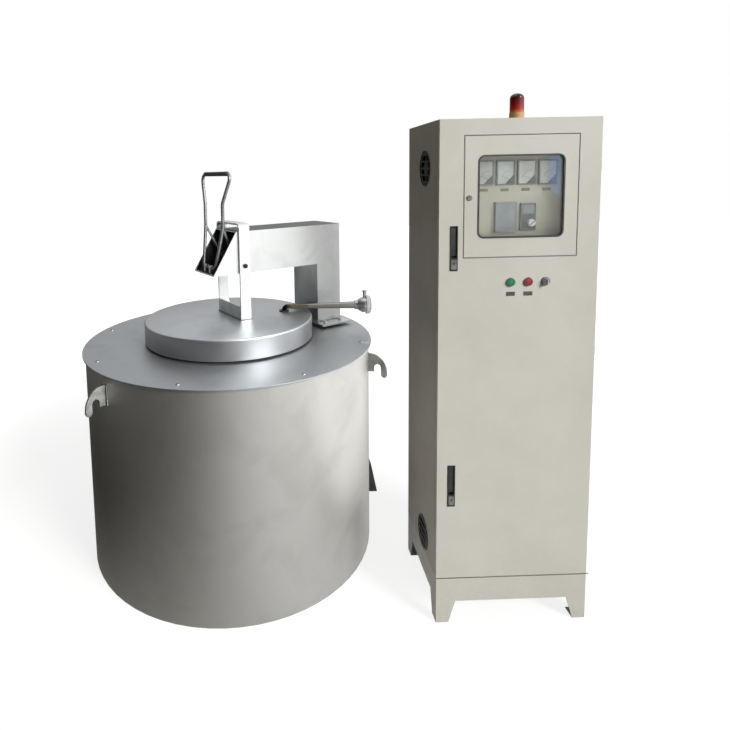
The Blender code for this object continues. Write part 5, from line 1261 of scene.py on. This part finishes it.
@dataclass
class ArmTrim:
    """Painted shade inside the beam behind its open mouth, and the weld beads of arm, lid and hooks.

    The mouth gives the places of its foot and head along the arm, and the column and the stirrup
    give their near end, far end and half width. The heading is in radians, the hooks' turns in degrees.
    """

    heading: float = 0.542
    half: float = 0.097
    low: float = 1.2045
    high: float = 1.3815
    mouth: Pair = (-0.112, -0.003)
    pin_gap: Pair = (0.012, 0.046)
    wall: float = 0.075
    sheet: float = 0.0006
    clear: float = 0.0002
    column: Triple = (0.425, 0.560, 0.101)
    foot_thickness: float = 0.008
    stirrup: Triple = (0.004, 0.054, 0.112)
    bead: float = 0.003
    bead_sink: float = 0.4
    hook_turns: Triple = (225, -15, 105)
    hook_radius: float = 0.6258
    hook_half: float = 0.014
    hook_seam: Pair = (0.028, 0.002)

    def along(self, place: float, side: float, height: float) -> Vector:
        """A point by its place along the arm, its place across it and its height."""
        return Matrix.Rotation(self.heading, 3, "Z") @ Vector((place, side, height))

    def shade_beam_inside(self) -> None:
        """Line the inside of the beam with dark sheets of painted shade, as far as the mouth shows it, with
        a closing sheet.
        """
        turn = Matrix.Rotation(self.heading, 4, "Z")
        upright = turn @ Matrix.Rotation(math.radians(90), 4, "X")
        foot, head = self.mouth
        first, second = self.pin_gap
        mould = Mould()
        for side in (-1, 1):
            near = -side * self.half
            depths = sorted(near + side * reach for reach in (self.clear, self.clear + self.sheet))
            cheek = ((foot, self.low), (first, self.low), (first, self.high), (head, self.high))
            mould.prism(cheek, *depths, upright)
            mould.prism(rectangle(second, self.low, self.wall, self.high), *depths, upright)
        reach = self.half - self.sheet - 3 * self.clear
        mould.prism(rectangle(foot, -reach, self.wall, reach), self.low, self.low + self.sheet, turn)
        mould.prism(rectangle(head, -reach, self.wall, reach), self.high - self.sheet, self.high, turn)
        reach = self.half - 2 * self.clear
        mould.prism(rectangle(self.wall + self.sheet / 2, -reach, self.wall + self.sheet, reach),
                    self.low, self.high, turn)
        # These dark sheets are painted shade inside the beam
        mould.piece("beam_inside_shade", BEAM_SHADE_PAINT, Body.ARM, SLOTS["arm_housing"])

    def beads(self) -> None:
        """Lay the weld beads round the column's foot, round the stirrup's foot and beside the hooks."""
        weld = Bead("weld bead", BEAD)
        near, far, side = self.column
        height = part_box("arm_foot_plate")[0].z + self.foot_thickness + self.bead / 2
        edge = self.bead * self.bead_sink
        ring = [self.along(*corner, height) for corner in
                rectangle(near - edge, -side - edge, far + edge, side + edge)]
        weld.make("column_bead", [ring + ring[:1]], self.bead, Body.ARM, SLOTS["arm_housing"])
        near, far, side = self.stirrup
        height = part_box("lid_stirrup")[0].z + self.bead / 2
        paths = [[self.along(near, flank, height), self.along(far, flank, height)]
                 for flank in (-side - edge, side + edge)]
        paths += [[self.along(end, -side, height), self.along(end, side, height)]
                  for end in (near - edge, far + edge)]
        weld.make("stirrup_bead", paths, self.bead, Body.LID, SLOTS["lid_stirrup"])
        paths = []
        foot, head = self.hook_seam
        for letter, turn in zip("abc", self.hook_turns):
            low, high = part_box("lifting_hook_" + letter)
            for flank in (-self.hook_half, self.hook_half):
                paths.append([about_z(turn) @ Vector((self.hook_radius, flank, end))
                              for end in (low.z + foot, high.z - head)])
        weld.make("hook_beads", paths, self.bead, Body.BASE, SLOTS["lifting_hook_a"])


@dataclass
class PlateTrim:
    """Dark hexes of painted shade in the rim screws' sockets, and a dark cord of painted shade under the
    plate's lip, against the shell.

    The first screw's place is in degrees about the furnace's axis.
    """

    radius: float = 0.594
    count: int = 8
    start: float = -149.0
    socket: float = 0.008
    socket_depth: float = 0.0006
    cord_ring: float = 0.6275
    cord: float = 0.0015
    cord_drop: float = 0.0018
    cord_sides: int = 8
    cord_steps: int = 128

    def sockets(self) -> None:
        """Set a dark hex in each rim screw's socket: painted shade of the recess."""
        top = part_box("top_plate")[1].z
        sweep = 360.0 - 360.0 / self.count
        # The dark hexes are painted shade of the screws' sockets
        Repeat("rim screw socket shade", INK_AND_HOLE_SHADE, Layout.ARC, Block.HEX).run(
            "rim_socket_shade", Matrix.Translation((0, 0, top)), Body.BASE, SLOTS["top_plate"], Count=self.count,
            Radius=self.radius, Start=math.radians(self.start), Sweep=math.radians(sweep),
            Size=(self.socket, self.socket, self.socket_depth))

    def seam(self) -> None:
        """Lay a dark cord of painted shade under the plate's lip, against the shell."""
        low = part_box("top_plate")[0].z
        turns = [math.tau * side / self.cord_sides for side in range(self.cord_sides)]
        profile = [(self.cord_ring + self.cord * math.cos(turn),
                    low - self.cord_drop + self.cord * math.sin(turn)) for turn in turns]
        # The dark grey cord is painted shade under the lip
        Mould().lathe(profile, self.cord_steps).piece(
            "plate_seam_shade", SEAL_RUBBER, Body.BASE, SLOTS["top_plate"])


# The studio

def unscattered(add: Adder, path: Node) -> Node:
    """1 for a ray that no matt surface has scattered before, and 0 for the rest."""
    return add(MATH, {0: path.outputs["Diffuse Depth"], 1: 0.5}, operation="LESS_THAN")


def first_mirror(add: Adder, path: Node) -> Node:
    """1 for a mirrored ray that no matt surface has scattered before, and 0 for the rest."""
    return add(MATH, {0: unscattered(add, path), 1: path.outputs["Is Glossy Ray"]}, operation="MULTIPLY")


def seen_plainly(add: Adder, path: Node) -> Node:
    """1 for what the camera sees, also through glass, and 0 for the rest."""
    return add(MATH, {0: path.outputs["Is Camera Ray"], 1: path.outputs["Is Transmission Ray"]},
               operation="MAXIMUM")


@dataclass(frozen=True)
class Lamp:
    """One soft oval lamp: its place, size, power in watts, aim and colour.

    A lamp that lights once is only seen or mirrored first, and not by way of a matt surface.
    """

    name: str
    place: Point
    size: Pair
    power: float
    aim: Point = (0.55, -0.2, 0.85)
    tone: str = "FFFFFF"
    once: bool = False

    def hang(self) -> None:
        """Hang the lamp."""
        data = bpy.data.lights.new(self.name, "AREA")
        data.shape = "ELLIPSE"
        data.size, data.size_y = self.size
        data.energy = self.power
        data.color = linear(self.tone)[:3]
        if self.once:
            data.use_nodes = True
            add = partial(add_node, data.node_tree)
            feed_node(data.node_tree.nodes["Emission"],
                      {"Strength": unscattered(add, add("ShaderNodeLightPath"))})
        lamp = add_object(self.name, data)
        lamp.location = self.place
        lamp.rotation_euler = (Vector(self.aim) - Vector(self.place)).to_track_quat("-Z", "Y").to_euler()
        lamp.visible_camera = False


@dataclass
class Studio:
    """The floor, the lamps, the white surround and the camera at the photograph's place.

    Metal shows what it mirrors, so the surround and the floor have grades of their own for mirrored rays:
    front_grade and back_side run from left to right, back_grade rises from the horizon, and floor_mirror
    crosses the floor along X. The grades are matched to the tones that the furnace's metal shows.
    The camera's focal length and middle are in pixels of the photograph, its yaw, pitch and roll in
    radians, and the sun's angles in degrees.
    """

    focal: float = 553.1646
    middle: Pair = (280.0, 230.0)
    picture: int = 730
    sensor: float = 36.0
    yaw: float = 0.0172757
    pitch: float = 0.1026812
    roll: float = -0.0212206
    stand: Point = (0.19700, -2.47199, 1.63469)
    ambient: float = 0.42
    side_grade: Stops = ((0.0, "2C2620"), (0.35, "4C463E"), (0.55, "A8A6A2"), (0.8, "F0F0F0"),
                         (1.0, "FFFFFF"))
    front_grade: Stops = ((0.0, "282828"), (0.3, "606060"), (0.5, "7C7C7C"), (0.65, "B8B8B8"),
                          (0.8, "FFFFFF"))
    back_grade: Stops = ((0.0, "707070"), (0.10, "6A6A6A"), (0.18, "A8A8A8"), (0.26, "F4F4F4"),
                         (1.0, "F0F0F0"))
    back_side: Stops = ((0.0, "A0A0A0"), (0.27, "A8A8A8"), (0.38, "D0D0D0"), (0.5, "F2F2F2"),
                        (0.65, "FFFFFF"))
    back_blend: float = 0.4
    mirror_power: float = 1.2
    floor_mirror: Stops = ((0.0, "C8C8C6"), (0.20, "6C6B69"), (0.30, "34302B"), (0.594, "27231F"),
                           (0.64, "524E49"), (0.75, "969592"), (0.83, "DADADA"), (0.906, "DEDEDE"))
    floor_span: Pair = (-5.0, 1.4)
    floor_tone: str = "8E8E8C"
    floor_reach: float = 14.0
    floor_drop: float = 0.0005
    floor_glow: float = 0.84
    bare_reach: float = 1.3
    white_reach: float = 2.8
    sun_from: Pair = (45.0, 27.0)
    sun_power: float = 3.25
    sun_spread: float = 22.0
    lamps: tuple[Lamp, ...] = (
        Lamp("top", (0.2, -0.3, 4.2), (2.4, 2.4), 15),
        Lamp("strip", (0.755, -0.39, 1.0), (0.64, 1.7), 3.4, (-1.0, -0.39, 1.0), once=True),
        Lamp("pane", (3.5, -5.0, 1.60), (0.24, 0.60), 0.9, (1.15, -0.6, 1.5), "6A9CE8"))

    def camera(self) -> None:
        """Set the camera where the photograph was taken from."""
        level = math.cos(self.pitch)
        ahead = Vector((math.sin(self.yaw) * level, math.cos(self.yaw) * level, -math.sin(self.pitch)))
        right = Vector((math.cos(self.yaw), -math.sin(self.yaw), 0))
        up = right.cross(ahead)
        right, up = (right * math.cos(self.roll) + up * math.sin(self.roll),
                     -right * math.sin(self.roll) + up * math.cos(self.roll))
        data = bpy.data.cameras.new("camera")
        data.sensor_width = self.sensor
        data.sensor_fit = "HORIZONTAL"
        data.lens = self.focal * self.sensor / self.picture
        data.shift_x = (self.picture / 2 - self.middle[0]) / self.picture
        data.shift_y = (self.middle[1] - self.picture / 2) / self.picture
        camera = add_object("camera", data)
        rows = [(right[axis], up[axis], -ahead[axis], self.stand[axis]) for axis in range(3)]
        camera.matrix_world = Matrix((*rows, (0, 0, 0, 1)))
        bpy.context.scene.camera = camera

    def sun(self) -> None:
        """Hang the wide, soft key light far off to the front right."""
        aside, up = (math.radians(angle) for angle in self.sun_from)
        data = bpy.data.lights.new("key", "SUN")
        data.energy = self.sun_power
        data.angle = math.radians(self.sun_spread)
        way = Vector((math.sin(aside) * math.cos(up), -math.cos(aside) * math.cos(up), math.sin(up)))
        add_object("key", data).rotation_euler = way.to_track_quat("Z", "Y").to_euler()

    def surround(self) -> None:
        """White to the camera and in glass, dimmer where it lights, and graded where metal mirrors it."""
        world = bpy.data.worlds.new("surround")
        add = clear_tree(world)
        path = add("ShaderNodeLightPath")
        way = add("ShaderNodeTexCoord").outputs["Generated"]
        parts = add(SPLIT, {"Vector": way}).outputs
        aside = add(RANGE, {"Value": parts["X"], "From Min": -1.0})
        back = add(RANGE, {"Value": parts["Y"], "From Max": self.back_blend})
        behind = add(BLEND, {"Factor": 1.0,
                             "A": add(RAMP, {"Fac": parts["Z"]}, self.back_grade),
                             "B": add(RAMP, {"Fac": aside}, self.back_side)},
                     data_type="RGBA", blend_type="MULTIPLY")
        shown = add(BLEND, {"Factor": back, "B": behind,
                            "A": add(RAMP, {"Fac": aside}, self.front_grade)},
                    data_type="RGBA")
        dim = add("ShaderNodeBackground", {
            "Color": add(RAMP, {"Fac": aside}, self.side_grade), "Strength": self.ambient})
        mirrored = add("ShaderNodeBackground", {"Color": shown, "Strength": self.mirror_power})
        white = add("ShaderNodeBackground", {"Color": "FFFFFF", "Strength": 1.0})
        lit = add("ShaderNodeMixShader", {0: first_mirror(add, path), 1: dim, 2: mirrored})
        whole = add("ShaderNodeMixShader", {0: seen_plainly(add, path), 1: lit, 2: white})
        add("ShaderNodeOutputWorld", {"Surface": whole})
        bpy.context.scene.world = world

    def floor(self) -> None:
        """Lay a pale floor that keeps the object's shadow and is white where no shadow falls."""
        reach = self.floor_reach
        data = bpy.data.meshes.new("floor")
        data.from_pydata([(x, y, -self.floor_drop) for x, y in rectangle(-reach, -reach, reach, reach)], [],
                         [(0, 1, 2, 3)])
        material = bpy.data.materials.new("pale floor")
        add = clear_tree(material)
        path = add("ShaderNodeLightPath")
        place = add("ShaderNodeTexCoord").outputs["Object"]
        matt = add("ShaderNodeBsdfDiffuse", {"Color": self.floor_tone})
        away = add("ShaderNodeVectorMath", {0: place}, operation="LENGTH").outputs["Value"]
        share = add(RANGE, {"Value": away, "From Min": self.bare_reach, "From Max": self.white_reach,
                            "To Min": self.floor_glow, "To Max": 1.0})
        glow = add("ShaderNodeEmission", {"Color": "FFFFFF", "Strength": share})
        both = add("ShaderNodeAddShader", {0: matt, 1: glow})
        plain = add("ShaderNodeMixShader", {0: seen_plainly(add, path), 1: matt, 2: both})
        left, right = self.floor_span
        across = add(RANGE, {"Value": add(SPLIT, {"Vector": place}).outputs["X"],
                             "From Min": left, "From Max": right})
        mirrored = add("ShaderNodeEmission", {"Color": add(RAMP, {"Fac": across}, self.floor_mirror)})
        whole = add("ShaderNodeMixShader", {0: first_mirror(add, path), 1: plain, 2: mirrored})
        add("ShaderNodeOutputMaterial", {"Surface": whole})
        data.materials.append(material)
        add_object("floor", data)

    def build(self) -> None:
        """Set the whole studio."""
        bpy.context.scene.view_settings.view_transform = "Standard"
        self.camera()
        self.surround()
        self.floor()
        self.sun()
        for lamp in self.lamps:
            lamp.hang()
        LOG.info("studio set")


def main() -> None:
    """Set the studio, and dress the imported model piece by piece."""
    logging.basicConfig(level=logging.INFO, format="%(message)s")
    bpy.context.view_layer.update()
    Studio().build()
    Skins().apply()
    instruments = Instruments()
    instruments.meters()
    instruments.screens()
    door = DoorTrim()
    door.buttons()
    door.locks()
    door.window()
    arm = ArmTrim()
    arm.shade_beam_inside()
    arm.beads()
    plate = PlateTrim()
    plate.sockets()
    plate.seam()


if __name__ == "__main__":
    main()
